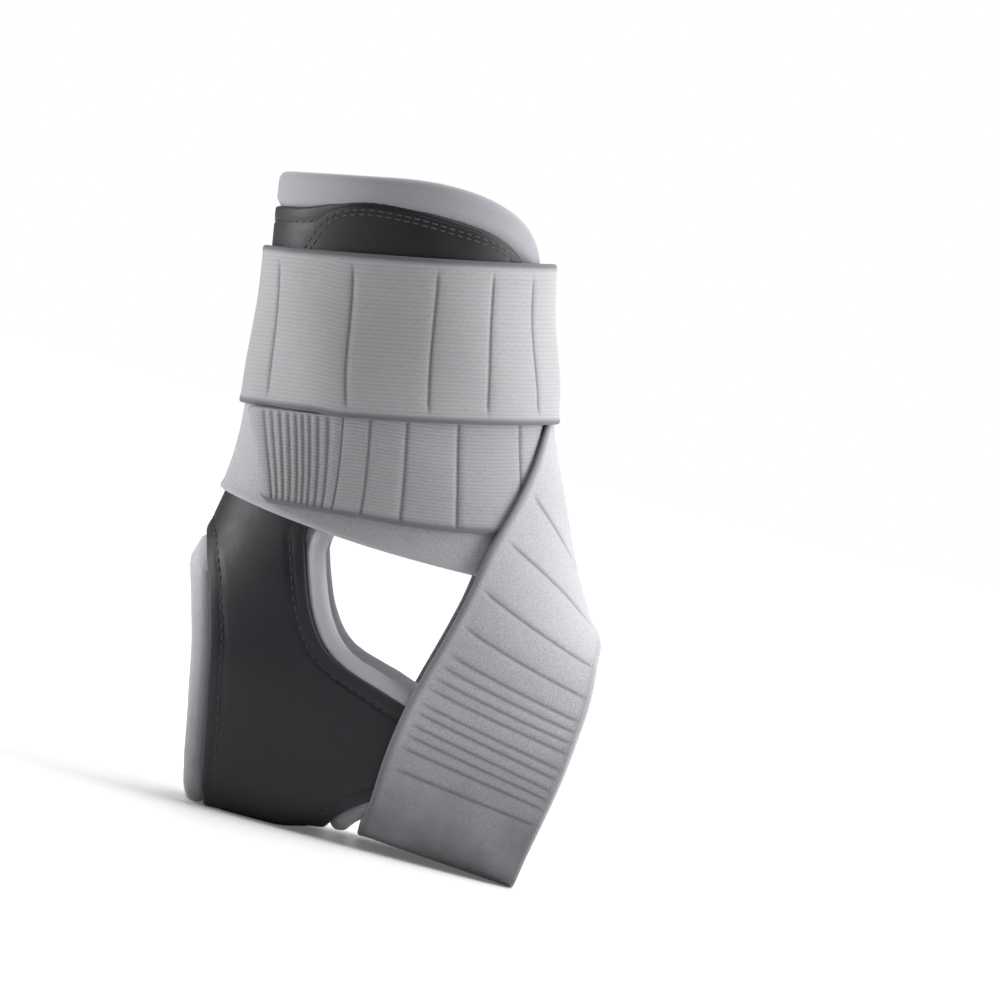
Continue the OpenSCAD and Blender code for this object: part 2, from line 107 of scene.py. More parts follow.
def curve(table, s, k):
    """A smooth curve through rows of [station, value, ...], read at stations s."""
    x, y = table[:, 0], table[:, k]
    i = np.arange(len(x))
    after, before = np.minimum(i + 1, len(x) - 1), np.maximum(i - 1, 0)
    rate = (y[after] - y[before]) / (x[after] - x[before])
    i = np.clip(np.searchsorted(x, s, side="right") - 1, 0, len(x) - 2)
    h = x[i + 1] - x[i]
    t = (s - x[i]) / h
    start = y[i] * (1 + 2 * t) + h * rate[i] * t
    end = y[i + 1] * (3 - 2 * t) + h * rate[i + 1] * (t - 1)
    return start * (1 - t) ** 2 + end * t * t


def power(v, e):
    return np.sign(v) * np.abs(v) ** e


def last_point(a, z):
    a, z = floats(a, z)
    back, front, half, square = (curve(SECTIONS, z, k) for k in (BACK, FRONT, HALF_WIDTH, SQUARENESS))
    a = np.radians(a)
    x = (back + front) / 2 + (front - back) / 2 * power(np.cos(a), 2 / square)
    return np.stack([x, -half * power(np.sin(a), 2 / square), z], -1)


def ease(t):
    """From 0 to 1, with a soft start and a soft end."""
    t = np.clip(t, 0, 1)
    return t * t * (3 - 2 * t)


def slack(a, z):
    """The slow waves in the cloth, which all the layers share."""
    a = np.radians(a)
    waves = (depth * np.sin(count * a + turn * z + start) for depth, count, turn, start in SLACK_WAVES)
    return sum(waves) * ease((z - SLACK_Z) / SLACK_RISE)


def on_last(a, z, t):
    """The point at angle a and height z, a distance t out from the last."""
    a, z, t = floats(a, z, t)
    n = np.cross(last_point(a + NORMAL_STEP, z) - last_point(a - NORMAL_STEP, z),
                 last_point(a, z - NORMAL_STEP) - last_point(a, z + NORMAL_STEP))
    n /= np.linalg.norm(n, axis=-1, keepdims=True)
    return last_point(a, z) + (t + slack(a, z))[..., None] * n


def angle_at(x, z, t):
    """The angle at which a side view of a layer t out from the last shows x at height z."""
    x, z, t = floats(x, z, t)
    back, front = curve(SECTIONS, z, BACK) - t, curve(SECTIONS, z, FRONT) + t
    share = np.clip((2 * x - back - front) / (front - back), -1, 1)
    return np.degrees(np.arccos(power(share, curve(SECTIONS, z, SQUARENESS) / 2)))


def leaning(z0, a):
    """The height at angle a of a plane square to the leaning cuff; three rounds settle it."""
    z = z0 + 0 * np.asarray(a, float)
    for _ in range(3):
        z = z0 + math.tan(math.radians(CUFF_LEAN)) * last_point(a, z)[..., 0]
    return z


print("the last at the back of the top edge:", np.round(last_point(180, leaning(TOP_Z, 180)), 1))

# %% [markdown]
# ## Layers and edges
# The brace is a padded liner, a thin dark shell sewn on it, and elastic straps. The liner shows past
# the shell as a light border. Two outlines drawn apart would make a border of uneven width, so only
# the shell's edge is given, judged from the photograph. The liner's edge is the same outline,
# moved out by the border.

# %% Layer distances
LINER_T, SHELL_T, STRAP_T, GAP = 2.6, 1.2, 1.4, 0.25
POCKET_T, HOOK_T, LOOP_T = 0.7, 0.4, 0.3
SHELL_IN = LINER_T + GAP
SHELL_OUT = SHELL_IN + SHELL_T
POCKET_IN = SHELL_OUT + GAP
FIRST_IN = SHELL_OUT + 1.6 * GAP
FIRST_OUT = FIRST_IN + STRAP_T
SECOND_IN = FIRST_OUT + GAP
THIRD_IN = SECOND_IN + STRAP_T + 1.4 * GAP
LOOP_IN = FIRST_OUT + GAP
HOOK_IN = LOOP_IN + LOOP_T + GAP
TAB_IN = HOOK_IN + HOOK_T + GAP
UPPER_IN = POCKET_IN + POCKET_T + GAP
UPPER_EDGE_IN = THIRD_IN + STRAP_T + 1.5 * GAP
UPPER_BACK_IN = FIRST_OUT + 1.5 * GAP
print(f"layers: shell to {SHELL_OUT:.2f} mm, tabs from {TAB_IN:.2f} mm")

# %% Edge lines of shell and liner
TOP_BORDER, SIDE_BORDER = 11, 6
LINER_CORNER_A, LINER_FRONT_A, LINER_DROP = 100, 18, 25
SHELL_CORNER_A, SHELL_FRONT_A, SHELL_DROP = 90, 32, 18
CORNER_SOFTNESS = 0.2
CREST_A, CREST_HALF_A, CREST_RISE = 108, 40, 3.5
FLEX_LOW, FLEX_HIGH = ANKLE_Z - 14, ANKLE_Z + 14
UPPER_LOW, UPPER_STRAP_W = 131.8, 49.5
UPPER_TOP = UPPER_LOW + UPPER_STRAP_W / math.cos(math.radians(CUFF_LEAN))
LOWER_STRAP_Z = UPPER_LOW - 33.3
WRAP_Z = LOWER_STRAP_Z - 8.8
CUFF_LOW = WRAP_Z + 12.5

# Side outline of the shell: height, heel edge, front edge
OUTLINE = np.array([
    [0, -31, 8], [6, -33, 11.5], [12, -34.2, 17], [18, -35.3, 25], [24, -36.3, 36], [29, -37.2, 43],
    [34, -38.2, 45], [39, -39.1, 41], [44, -40, 30], [49, -41, 15], [ANKLE_Z - 18, -42.3, 0.5],
    [FLEX_LOW, -43.4, -6], [ANKLE_Z - 6, -45.5, -12], [ANKLE_Z + 4, -48, -16.3],
    [FLEX_HIGH, -50, -19.5]])
HEEL_EDGE, FRONT_EDGE = 1, 2
STEEPEST = 6


def outline_edge(z, k, border):
    """An edge of the side outline, moved out by a border that stays as wide where the edge slants."""
    slope = curve(OUTLINE, z + 1, k) - curve(OUTLINE, z - 1, k)
    width = border * np.sqrt(1 + np.minimum(STEEPEST, slope * slope / 4))
    return curve(OUTLINE, z, k) + (-width if k == HEEL_EDGE else width)


def side_angle(a):
    """How far round an angle is from the front, 0 to 180, on either side."""
    r = np.abs(a)
    return np.where(r > 180, 360 - r, r)


def corner(a, start, end, drop):
    """How far a top edge has come down at angle a, rounding its front corner."""
    t = np.clip((start - side_angle(a)) / (start - end), 0, 1)
    return drop * mix(1 - np.sqrt(1 - t * t), t * t, CORNER_SOFTNESS)


def liner_top(a):
    return leaning(TOP_Z, a) - corner(a, LINER_CORNER_A, LINER_FRONT_A, LINER_DROP)


def shell_top(a):
    crest = CREST_RISE * ease(1 - np.abs(side_angle(a) - CREST_A) / CREST_HALF_A)
    drop = corner(a, SHELL_CORNER_A, SHELL_FRONT_A, SHELL_DROP)
    return leaning(TOP_Z - TOP_BORDER, a) - drop + crest


print(f"upper strap: {UPPER_LOW:.1f} to {UPPER_TOP:.1f} mm up, cuff from {CUFF_LOW:.1f} mm")

# %% [markdown]
# ## Shader groups
# Three effects come back in several materials: the ribs of woven elastic, the mottle of fibres, and
# a darkening low down, towards the floor, which is mostly painted shade and partly dirt. Each is a
# node group with named inputs, built once. A picture of cloth would be quicker, but it repeats, and
# it blurs close up.

# %% Node helpers


def add(tree, kind, inputs=None, **settings):
    """A new node; inputs maps a socket's name or number to a value or to the socket that feeds it."""
    node = tree.nodes.new(kind)
    for key, value in settings.items():
        setattr(node, key, value)
    for key, value in (inputs or {}).items():
        if isinstance(value, bpy.types.NodeSocket):
            tree.links.new(value, node.inputs[key])
        else:
            node.inputs[key].default_value = value
    return node


def maths(tree, operation, *values):
    return add(tree, "ShaderNodeMath", dict(enumerate(values)), operation=operation).outputs[0]


def new_tree(name, kind, inputs, outputs):
    """A node group: each input is (label, type) or (label, type, value), each output (label, type)."""
    tree = bpy.data.node_groups.new(name, kind + "NodeTree")
    for way, sockets in (("INPUT", inputs), ("OUTPUT", outputs)):
        for label, holds, *value in sockets:
            socket = tree.interface.new_socket(label, in_out=way, socket_type="NodeSocket" + holds)
            if value:
                socket.default_value = value[0]
    return tree, add(tree, "NodeGroupInput").outputs, add(tree, "NodeGroupOutput").inputs


print("node groups so far:", len(bpy.data.node_groups))

# %% Woven ribs
TURN = 2 * math.pi
PICK_DEPTH = 0.3
# Millimetres of cloth in one unit of a UV map
UV_MM = 100


def wave(tree, turns):
    return maths(tree, "COSINE", maths(tree, "MULTIPLY", turns, TURN))


def make_woven_ribs():
    """Ribs along a strap, each crossed by picks that are set off by half from rib to rib."""
    tree, given, out = new_tree(
        "woven ribs", "Shader",
        [("Vector", "Vector"), ("Rib pitch", "Float", 1.3), ("Pick pitch", "Float", 0.8)],
        [("Height", "Float"), ("Valley", "Float")])
    place = add(tree, "ShaderNodeSeparateXYZ", {0: given["Vector"]}).outputs
    along, across = (maths(tree, "DIVIDE", maths(tree, "MULTIPLY", length, UV_MM), given[pitch])
                     for length, pitch in ((place[0], "Pick pitch"), (place[1], "Rib pitch")))
    rib = maths(tree, "MULTIPLY_ADD", wave(tree, across), 0.5, 0.5)
    odd = maths(tree, "MULTIPLY", maths(tree, "MODULO", maths(tree, "FLOOR", across), 2), 0.5)
    pick = wave(tree, maths(tree, "ADD", along, odd))
    pick = maths(tree, "MULTIPLY_ADD", pick, PICK_DEPTH, 1 - PICK_DEPTH)
    woven = maths(tree, "MULTIPLY", rib, pick)
    tree.links.new(woven, out["Height"])
    tree.links.new(maths(tree, "SUBTRACT", 1, woven), out["Valley"])
    return tree


WOVEN_RIBS = make_woven_ribs()
print("group:", WOVEN_RIBS.name)

# %% Fibre mottle and painted low shade
CLOUD_SHARE, LOW_SHADE_SCALE = 0.05, 60


def noise(tree, vector, scale, detail):
    inputs = {"Vector": vector, "Scale": scale, "Detail": detail}
    return add(tree, "ShaderNodeTexNoise", inputs).outputs["Fac"]


def make_fibre_mottle():
    tree, given, out = new_tree(
        "fibre mottle", "Shader", [("Vector", "Vector"), ("Scale", "Float", 900)],
        [("Fine", "Float"), ("Cloud", "Float")])
    slow = maths(tree, "MULTIPLY", given["Scale"], CLOUD_SHARE)
    tree.links.new(noise(tree, given["Vector"], given["Scale"], 4), out["Fine"])
    tree.links.new(noise(tree, given["Vector"], slow, 3), out["Cloud"])
    return tree


def remap(tree, value, low, high, to_low, to_high, how="LINEAR"):
    """Values from low to high, as values from to_low to to_high."""
    inputs = dict(enumerate((value, low, high, to_low, to_high)))
    return add(tree, "ShaderNodeMapRange", inputs, interpolation_type=how).outputs[0]


def make_low_shade():
    """Uneven painted shade, with some dirt, strongest at the floor and gone at a height, the reach."""
    tree, given, out = new_tree(
        "painted low shade", "Shader", [("Vector", "Vector"), ("Reach", "Float", 0.06)],
        [("Mask", "Float")])
    height = add(tree, "ShaderNodeSeparateXYZ", {0: given["Vector"]}).outputs[2]
    fade = remap(tree, height, 0, given["Reach"], 1, 0, "SMOOTHSTEP")
    uneven = remap(tree, noise(tree, given["Vector"], LOW_SHADE_SCALE, 4), 0.35, 0.65, 0.62, 0.95)
    tree.links.new(maths(tree, "MULTIPLY", fade, uneven), out["Mask"])
    return tree


FIBRE_MOTTLE, LOW_SHADE = make_fibre_mottle(), make_low_shade()
print("groups:", ", ".join(group.name for group in bpy.data.node_groups))

# %% [markdown]
# ## Materials
# The straps are woven elastic, so their ribs follow the strap: the material reads the strap's own UV
# map, which is in real lengths. Liner and shell have no weave to follow and read the object's
# coordinates. The marks attribute carries what the mesh knows: how deep a point lies in a crease, and
# how near it is to the lower and to the upper edge. A colour ramp over one noise would be quicker,
# but the painted low shade, the painted shade in creases and the fibres each have their own place.
# So each colour is a base tone with layers painted over it, as a painter would lay them, and each
# layer has its own mask.

# %% Material helpers
# Sockets of a Mix node that mixes colours
SHARE, UNDER, OVER, MIXED = 0, 6, 7, 2


def by_label(values):
    """Values by socket label, from arguments whose names have _ for a space."""
    return {key.replace("_", " "): value for key, value in values.items()}


def new_material(name, **constants):
    material = bpy.data.materials.new(name)
    material.use_nodes = True
    tree = material.node_tree
    tree.nodes.clear()
    shader = add(tree, "ShaderNodeBsdfPrincipled", by_label(constants))
    add(tree, "ShaderNodeOutputMaterial", {"Surface": shader.outputs[0]})
    return material, tree, shader


def place_group(tree, group, vector, **values):
    inputs = {"Vector": vector, **by_label(values)}
    return add(tree, "ShaderNodeGroup", inputs, node_tree=group).outputs


def marks_of(tree):
    """The masks for crease, lower edge and upper edge that the mesh carries."""
    node = add(tree, "ShaderNodeAttribute", attribute_name="marks")
    return add(tree, "ShaderNodeSeparateXYZ", {0: node.outputs["Vector"]}).outputs


def linear(hex_colour):
    """A screen colour such as b4b4b6 as the linear colour that shaders use."""
    values = [int(hex_colour[i:i + 2], 16) / 255 for i in (0, 2, 4)]
    return (*[v / 12.92 if v <= 0.04045 else ((v + 0.055) / 1.055) ** 2.4 for v in values], 1)


def paint(tree, base, *layers):
    """A base tone with layers over it, each a mask, its strength and its tone."""
    colour = linear(base)
    for mask, strength, tone in layers:
        inputs = {SHARE: maths(tree, "MULTIPLY", mask, strength), UNDER: colour, OVER: linear(tone)}
        colour = add(tree, "ShaderNodeMix", inputs, data_type="RGBA").outputs[MIXED]
    return colour


def fibre_material(name, scale, **constants):
    """A material with its places on the surface and a mottle of fibres at a scale."""
    material, tree, shader = new_material(name, **constants)
    spot = add(tree, "ShaderNodeTexCoord").outputs
    return material, tree, shader, spot, place_group(tree, FIBRE_MOTTLE, spot["Object"], Scale=scale)


def finish_surface(tree, shader, colour, height, depth, strength):
    bump = add(tree, "ShaderNodeBump", {"Height": height, "Distance": depth, "Strength": strength})
    tree.links.new(bump.outputs[0], shader.inputs["Normal"])
    tree.links.new(colour, shader.inputs["Base Color"])


print("mid grey b4b4b6 is", np.round(linear("b4b4b6")[:3], 3))

# %% Elastic strap materials
FUZZ = 1.5


def elastic_material(name, tone, valley, edging, pitches, ribs, grain, hem=None):
    """Woven elastic: tone on the ribs and the valley tone between them, a dark edging and, where
    given, another tone for the hem. Ribs and grain say how much of each shows."""
    material, tree, shader, spot, mottle = fibre_material(
        name, 1900, Roughness=0.82, Sheen_Weight=0.18, Sheen_Roughness=0.4)
    weave = place_group(tree, WOVEN_RIBS, spot["UV"], Rib_pitch=pitches[0], Pick_pitch=pitches[1])
    # The low shade darkens the strap towards the floor: mostly painted shade, partly dirt.
    low_shade = place_group(tree, LOW_SHADE, spot["Object"], Reach=0.05)
    crease, low, high = marks_of(tree)
    speck = remap(tree, mottle["Fine"], 0.38, 0.66, 0, grain)
    # The crease layer is painted shade in the creases, over their grooves.
    colour = paint(tree, tone, (weave["Valley"], ribs, valley), (speck, 1, valley), (high, 1, edging),
                   (low, 1, hem or edging), (crease, 0.45, "4c4c50"), (low_shade["Mask"], 0.95, "5c5c60"))
    fuzz = maths(tree, "MULTIPLY", mottle["Fine"], FUZZ * grain)
    height = maths(tree, "ADD", maths(tree, "MULTIPLY", weave["Height"], ribs), fuzz)
    finish_surface(tree, shader, colour, height, 0.0004, 0.5)
    return material


UPPER_ELASTIC = elastic_material("ribbed elastic", "b0b0b2", "8c8c90", "66666b", (1.3, 3.4), 0.4, 0.35)
LOWER_ELASTIC = elastic_material("fine ribbed elastic", "aeaeb0", "86868b", "6c6c72", (1.1, 2.6),
                                 0.45, 0.35)
INSTEP_ELASTIC = elastic_material("grained elastic", "bababe", "838388", "818186", (0.9, 1.1),
                                  0.2, 0.45, hem="a9a9ad")
print("elastics:", ", ".join(material.name for material in bpy.data.materials))

# %% Shell and liner materials
# Heights between which the liner turns greyer towards its top: painted shade on the top border
TOP_SHADE_LOW, TOP_SHADE_HIGH = 0.14, 0.185


def shell_material(name, tone, worn):
    material, tree, shader, _, mottle = fibre_material(
        name, 1700, Specular_IOR_Level=0.36, Sheen_Weight=0.04, Sheen_Roughness=0.3)
    crease, low, _ = marks_of(tree)
    # The crease layer is painted shade in the seam's groove.
    colour = paint(tree, tone, (mottle["Cloud"], 0.5, worn), (mottle["Fine"], 0.3, "202123"),
                   (low, 0.4, "5c5c61"), (crease, 0.6, "18181a"))
    tree.links.new(remap(tree, mottle["Cloud"], 0.3, 0.7, 0.42, 0.56), shader.inputs["Roughness"])
    finish_surface(tree, shader, colour, mottle["Fine"], 0.0002, 0.35)
    return material


def liner_material():
    material, tree, shader, spot, mottle = fibre_material(
        "padded liner", 1500, Roughness=0.9, Sheen_Weight=0.3, Sheen_Roughness=0.5)
    # The low shade darkens the liner towards the floor: mostly painted shade, partly dirt.
    low_shade = place_group(tree, LOW_SHADE, spot["Object"], Reach=0.08)
    height = add(tree, "ShaderNodeSeparateXYZ", {0: spot["Object"]}).outputs[2]
    # Painted shade: the liner is darker towards its top.
    top_shade = remap(tree, height, TOP_SHADE_LOW, TOP_SHADE_HIGH, 0, 0.65)
    colour = paint(tree, "c8c8cd", (mottle["Cloud"], 1, "b6b6bc"), (top_shade, 1, "88888e"),
                   (mottle["Fine"], 0.3, "8a8a90"), (low_shade["Mask"], 0.9, "77777b"))
    finish_surface(tree, shader, colour, mottle["Fine"], 0.0004, 0.4)
    return material


SHELL_CLOTH = shell_material("dark laminate", "222328", "2d2e33")
POCKET_CLOTH = shell_material("pocket laminate", "1a1a1c", "2f2f32")
LINER_CLOTH = liner_material()
print("cloths:", SHELL_CLOTH.name, POCKET_CLOTH.name, LINER_CLOTH.name, sep=", ")

# %% Plain finishes: threads, hooks, loops and stays


def speckled_material(name, tone, fleck, roughness, scale, depth, sheen=0.0):
    material, tree, shader, _, mottle = fibre_material(
        name, scale, Roughness=roughness, Sheen_Weight=sheen)
    colour = paint(tree, tone, (mottle["Fine"], 1, fleck))
    finish_surface(tree, shader, colour, mottle["Fine"], depth, 0.4)
    return material


DARK_THREAD = speckled_material("dark thread", "2a2a2d", "47474b", 0.7, 4000, 0.0001)
LINER_THREAD = speckled_material("liner thread", "85858b", "6a6a70", 0.7, 4000, 0.0001)
POCKET_THREAD = speckled_material("pocket thread", "5e5e63", "434347", 0.7, 4000, 0.0001)
HOOK_PLASTIC = speckled_material("hook nylon", "8d8c90", "77767a", 0.45, 900, 0.0001)
LOOP_PILE = speckled_material("loop pile", "c4c4c8", "9c9ca1", 0.95, 2500, 0.0004, sheen=0.4)
STAY_PLASTIC = speckled_material("stay plastic", "e4e2da", "cfcdc4", 0.4, 500, 0.0001)
print("materials in all:", len(bpy.data.materials))

# %% [markdown]
# ## Meshes from grids of points
# Cloth is easiest to control as a grid: rows along it, columns across it, with an outer and an inner
# face. Solidify would give a wall of one thickness. Here both faces are placed point by point, and
# meet at the edges, so an edge can be rolled, padded or thinned. Doubles are merged where faces meet,
# and then the normals are turned out.

# %% Grid meshes
# A millimetre in metres, and the lengths in metres that are too short for an edge
MM, MERGE_M, THIN_M = 0.001, 3e-6, 1e-7
LOWEST = np.array([-1e3, -1e3, 0])


def grid_faces(rows, cols, start=0, ring=False):
    r, c = np.meshgrid(np.arange(rows if ring else rows - 1), np.arange(cols - 1), indexing="ij")
    a = start + r * cols + c
    b = start + ((r + 1) % rows) * cols + c
    return np.stack([a, a + 1, b + 1, b], -1).reshape(-1, 4).tolist()


def new_mesh(name, points, edges, faces):
    """A mesh from points in millimetres."""
    mesh = bpy.data.meshes.new(name)
    mesh.from_pydata((np.asarray(points).reshape(-1, 3) * MM).tolist(), edges, faces)
    return mesh


@contextmanager
def editing(mesh):
    """Open a mesh for editing, and write it back at the end."""
    bm = bmesh.new()
    bm.from_mesh(mesh)
    yield bm
    bm.to_mesh(mesh)
    bm.free()


def put_in_scene(name, data):
    obj = bpy.data.objects.new(name, data)
    bpy.context.collection.objects.link(obj)
    return obj


def close_mesh(mesh):
    with editing(mesh) as bm:
        bmesh.ops.remove_doubles(bm, verts=bm.verts, dist=MERGE_M)
        bmesh.ops.dissolve_degenerate(bm, edges=bm.edges, dist=THIN_M)
        bmesh.ops.recalc_face_normals(bm, faces=bm.faces)
        open_edges = sum(not e.is_manifold for e in bm.edges)
        if bm.calc_volume(signed=True) < 0:
            bmesh.ops.reverse_faces(bm, faces=bm.faces)
        for face in bm.faces:
            face.smooth = True
    print(f"{mesh.name}: {len(mesh.polygons)} faces, {open_edges} open edges")


def store(values, key, numbers):
    values.foreach_set(key, numbers.ravel().astype(np.float32))


def cloth_mesh(name, sides, material, ring=False):
    """One closed piece from sides, a list of (points, marks, uv) grids that meet along their edges."""
    quads, start = [], 0
    for grid, _, _ in sides:
        rows, cols = grid.shape[:2]
        quads += grid_faces(rows, cols, start, ring)
        start += rows * cols
    points, marks, uvs = (np.concatenate([grid.reshape(-1, grid.shape[-1]) for grid in part])
                          for part in zip(*sides))
    mesh = new_mesh(name, np.maximum(points, LOWEST), [], quads)
    store(mesh.attributes.new("marks", "FLOAT_VECTOR", "POINT").data, "vector", marks)
    loops = np.empty(len(mesh.loops), np.int32)
    mesh.loops.foreach_get("vertex_index", loops)
    store(mesh.uv_layers.new(name="cloth").data, "uv", uvs[loops])
    close_mesh(mesh)
    mesh.materials.append(material)
    return put_in_scene(name, mesh)


print("faces in a grid of 4 x 3 points:", len(grid_faces(4, 3)), "or, in a ring,",
      len(grid_faces(4, 3, ring=True)))

# %% Places along a line
CREASE_STEPS = (-0.9, -0.45, -0.2, 0, 0.2, 0.45, 0.9)
CLOSEST = 0.04


def round_marks(marks):
    """Places close before and after each mark, to give a crease enough rows."""
    return np.add.outer(marks, CREASE_STEPS).ravel()


def steps_along(length, step, ends, marks=()):
    """Places along a length: even steps, finer at both ends and round each mark."""
    ends = np.asarray(ends) * min(1, length / (3 * max(ends)))
    middle = np.linspace(ends[-1], length - ends[-1], max(3, int(length / step)))
    fine = np.clip(round_marks(marks), 0, length)
    places = np.sort(np.concatenate([ends, length - ends, middle, fine]))
    return places[np.concatenate([[True], np.diff(places) > CLOSEST])]


def path_length(points):
    return np.concatenate([[0], np.cumsum(np.linalg.norm(np.diff(points, axis=0), axis=-1))])


print("20 mm in steps of 5, with one mark:", np.round(steps_along(20, 5, (0, 1), [8]), 1))

# %% [markdown]
# ## The body: liner and shell
# Liner and shell are cut as one wrap that runs from under the sole, up both heel walls, round the back
# and up to the top of the cuff, with an open heel and a window on each side. A boolean cut would leave
# ragged edges to dress afterwards. The wrap is laid as one grid instead, whose first and last columns
# are its free edges, so every point knows how far it is from an edge, and that distance shapes the
# roll.

# %% The wrap as rows of points
EDGE_STEPS = (0, 0.35, 0.8, 1.4, 2.1, 3, 4, 5.2, 6.6, 8.2, 10)
FULL_STEPS_L, MIDDLE_COLS, ROW_SAMPLES, HEEL_SAMPLES = 40, 28, 90, 300
SOLE_ROWS, TURN_ROWS, WALL_ROWS, HEEL_ARCH_ROWS, NECK_ROWS, WINDOW_ROWS = 7, 9, 26, 18, 8, 13
FIRST_WALL_UP, NECK_OVER, WINDOW_OVER, WINDOW_ROUND, TOP_BELOW, TOP_STEP = 1.6, 2, 4, 1.7, 12, 2.6
SOLE_TURN_R = 12
TURN_Z = SHELL_OUT + SOLE_TURN_R
# Degrees at which the rows of the sole's turn, the heel's arch and the window's curve start
FIRST_TURN, FIRST_ARCH, FIRST_SWING = 80, 6, 8
# Distances from the last at which the outline is read and the edges are measured
OUTLINE_T, MEASURE_T = 3, 2
# The sole's front edge is drawn up under the arch: by how much, from which x, over which lengths
SOLE_LIFT, LIFT_X, LIFT_LENGTH, LIFT_TOP = 3, -8, 18, 24


def sole_lift(x, z):
    return SOLE_LIFT * ease((x - LIFT_X) / LIFT_LENGTH) * (1 - ease(z / LIFT_TOP))


def level(z):
    """A row's height where it is the same all along."""
    return lambda a: 0 * a + z


class Wrap:
    """Half of the body as a grid: low rows cross the sole and its turn, the others lie on the last."""

    def __init__(self, border, front_a, top):
        self.border, self.front_a, self.top = border, front_a, top
        self.rows = []
        self.lay_sole()
        self.lay_heel_walls()
        self.lay_neck_and_cuff()
        self.a, self.z, self.turn, self.flat = (np.array(part) for part in zip(*self.rows))

    def columns(self, length):
        """Shares across a row, with the same fine steps at both free edges."""
        ends = np.array(EDGE_STEPS) * min(1, length / FULL_STEPS_L)
        middle = np.linspace(ends[-1], length - ends[-1], MIDDLE_COLS + 2)[1:-1]
        return np.concatenate([ends, middle, (length - ends)[::-1]]) / length

    def low_row(self, edge_z, turn, flat):
        front, back = (outline_edge(edge_z, k, self.border) for k in (FRONT_EDGE, HEEL_EDGE))
        a = angle_at(mix(front, back, self.columns(front - back)), TURN_Z, OUTLINE_T)
        self.rows.append((a, 0 * a + TURN_Z, 0 * a + turn, 0 * a + flat))

    def wall_row(self, front_a, back_a, height):
        a = np.linspace(front_a, back_a, ROW_SAMPLES)
        x = last_point(a, height(a))[:, 0]
        even = angle_at(np.linspace(x[0], x[-1], ROW_SAMPLES)[1:-1], np.mean(height(a)), 0)
        a = np.sort(np.concatenate([a, even[(even > front_a) & (even < back_a)]]))
        along = path_length(on_last(a, height(a), OUTLINE_T))
        a = np.interp(self.columns(along[-1]) * along[-1], along, a)
        self.rows.append((a, height(a), 0 * a, 0 * a + 1))

    def lay_sole(self):
        for flat in np.linspace(0, 1, SOLE_ROWS):
            self.low_row(0, 90, flat)
        for turn in np.linspace(FIRST_TURN, 0, TURN_ROWS):
            self.low_row(TURN_Z * (1 - math.sin(math.radians(turn))), turn, 1)

    def edge_a(self, z, k):
        return float(angle_at(outline_edge(z, k, self.border), z, OUTLINE_T))

    def lay_heel_walls(self):
        z = np.linspace(FLEX_LOW, FLEX_HIGH, HEEL_SAMPLES)
        closed = outline_edge(z, HEEL_EDGE, self.border) < curve(SECTIONS, z, BACK) - OUTLINE_T
        self.heel_top = z[np.argmax(closed)]
        walls = np.linspace(TURN_Z + FIRST_WALL_UP, FLEX_LOW, WALL_ROWS)
        swing = np.radians(np.linspace(FIRST_ARCH, 90, HEEL_ARCH_ROWS))
        arch = mix(FLEX_LOW, self.heel_top, np.sin(swing))
        for z in np.concatenate([walls, arch]):
            self.wall_row(self.edge_a(z, FRONT_EDGE), self.edge_a(z, HEEL_EDGE), level(z))
        self.heel_rows = len(self.rows)

    def lay_neck_and_cuff(self):
        neck_top = FLEX_HIGH + NECK_OVER - self.border / 2
        for z in np.linspace(self.heel_top, neck_top, NECK_ROWS)[1:]:
            self.wall_row(self.edge_a(z, FRONT_EDGE), 180, level(z))
        window_a = self.edge_a(neck_top, FRONT_EDGE)
        rise = CUFF_LOW - self.border - neck_top + WINDOW_OVER
        for swing in np.radians(np.linspace(FIRST_SWING, 90, WINDOW_ROWS)):
            front_a = mix(window_a, self.front_a, (1 - math.cos(swing)) ** WINDOW_ROUND)
            self.wall_row(front_a, 180, level(neck_top + rise * math.sin(swing)))
        start = neck_top + rise
        span = TOP_Z - TOP_BELOW - start
        for up in steps_along(span, TOP_STEP, EDGE_STEPS)[1:] / span:
            self.wall_row(self.front_a, 180, lambda a, up=up: mix(start, self.top(a), up))

    def points(self, t, side=1):
        """The grid at distances t from the last, on the near side or, with side -1, the far one."""
        t = np.broadcast_to(t, self.a.shape)
        x, y, z = np.moveaxis(on_last(side * self.a, self.z, t), -1, 0)
        r, turn = SOLE_TURN_R + t, np.radians(self.turn)
        low_y = (np.abs(y) - r) * self.flat + r * np.cos(turn)
        low_z = mix(z, TURN_Z, np.sin(turn)) - r * np.sin(turn)
        low = self.z <= TURN_Z
        z = np.where(low, low_z, z)
        return np.stack([x, np.where(low, -side * low_y, y), z + sole_lift(x, z)], -1)

    def edges(self):
        """The two free edges, as lines: front and top in one, and the heel opening."""
        p = self.points(MEASURE_T)
        return np.concatenate([p[:, 0], p[-1, 1:]]), p[:self.heel_rows, -1]


liner_wrap = Wrap(SIDE_BORDER, LINER_FRONT_A, liner_top)
shell_wrap = Wrap(0, SHELL_FRONT_A, shell_top)
print("wrap grids:", liner_wrap.a.shape, shell_wrap.a.shape)

# %% Distances from the free edges


def nearest_on(points, line):
    """Distance of each point from a polyline, and how far along the line its nearest place is."""
    along = path_length(line)
    start, step = line[:-1], np.diff(line, axis=0)
    flat = points.reshape(-1, 3)
    t = np.einsum("psk,sk->ps", flat[:, None] - start, step) / np.maximum((step ** 2).sum(-1), 1e-9)
    t = np.clip(t, 0, 1)
    gap = np.linalg.norm(flat[:, None] - start - t[..., None] * step, axis=-1)
    best = gap.argmin(1)
    rows = np.arange(len(flat))
    place = along[best] + t[rows, best] * np.diff(along)[best]
    return gap[rows, best].reshape(points.shape[:-1]), place.reshape(points.shape[:-1])


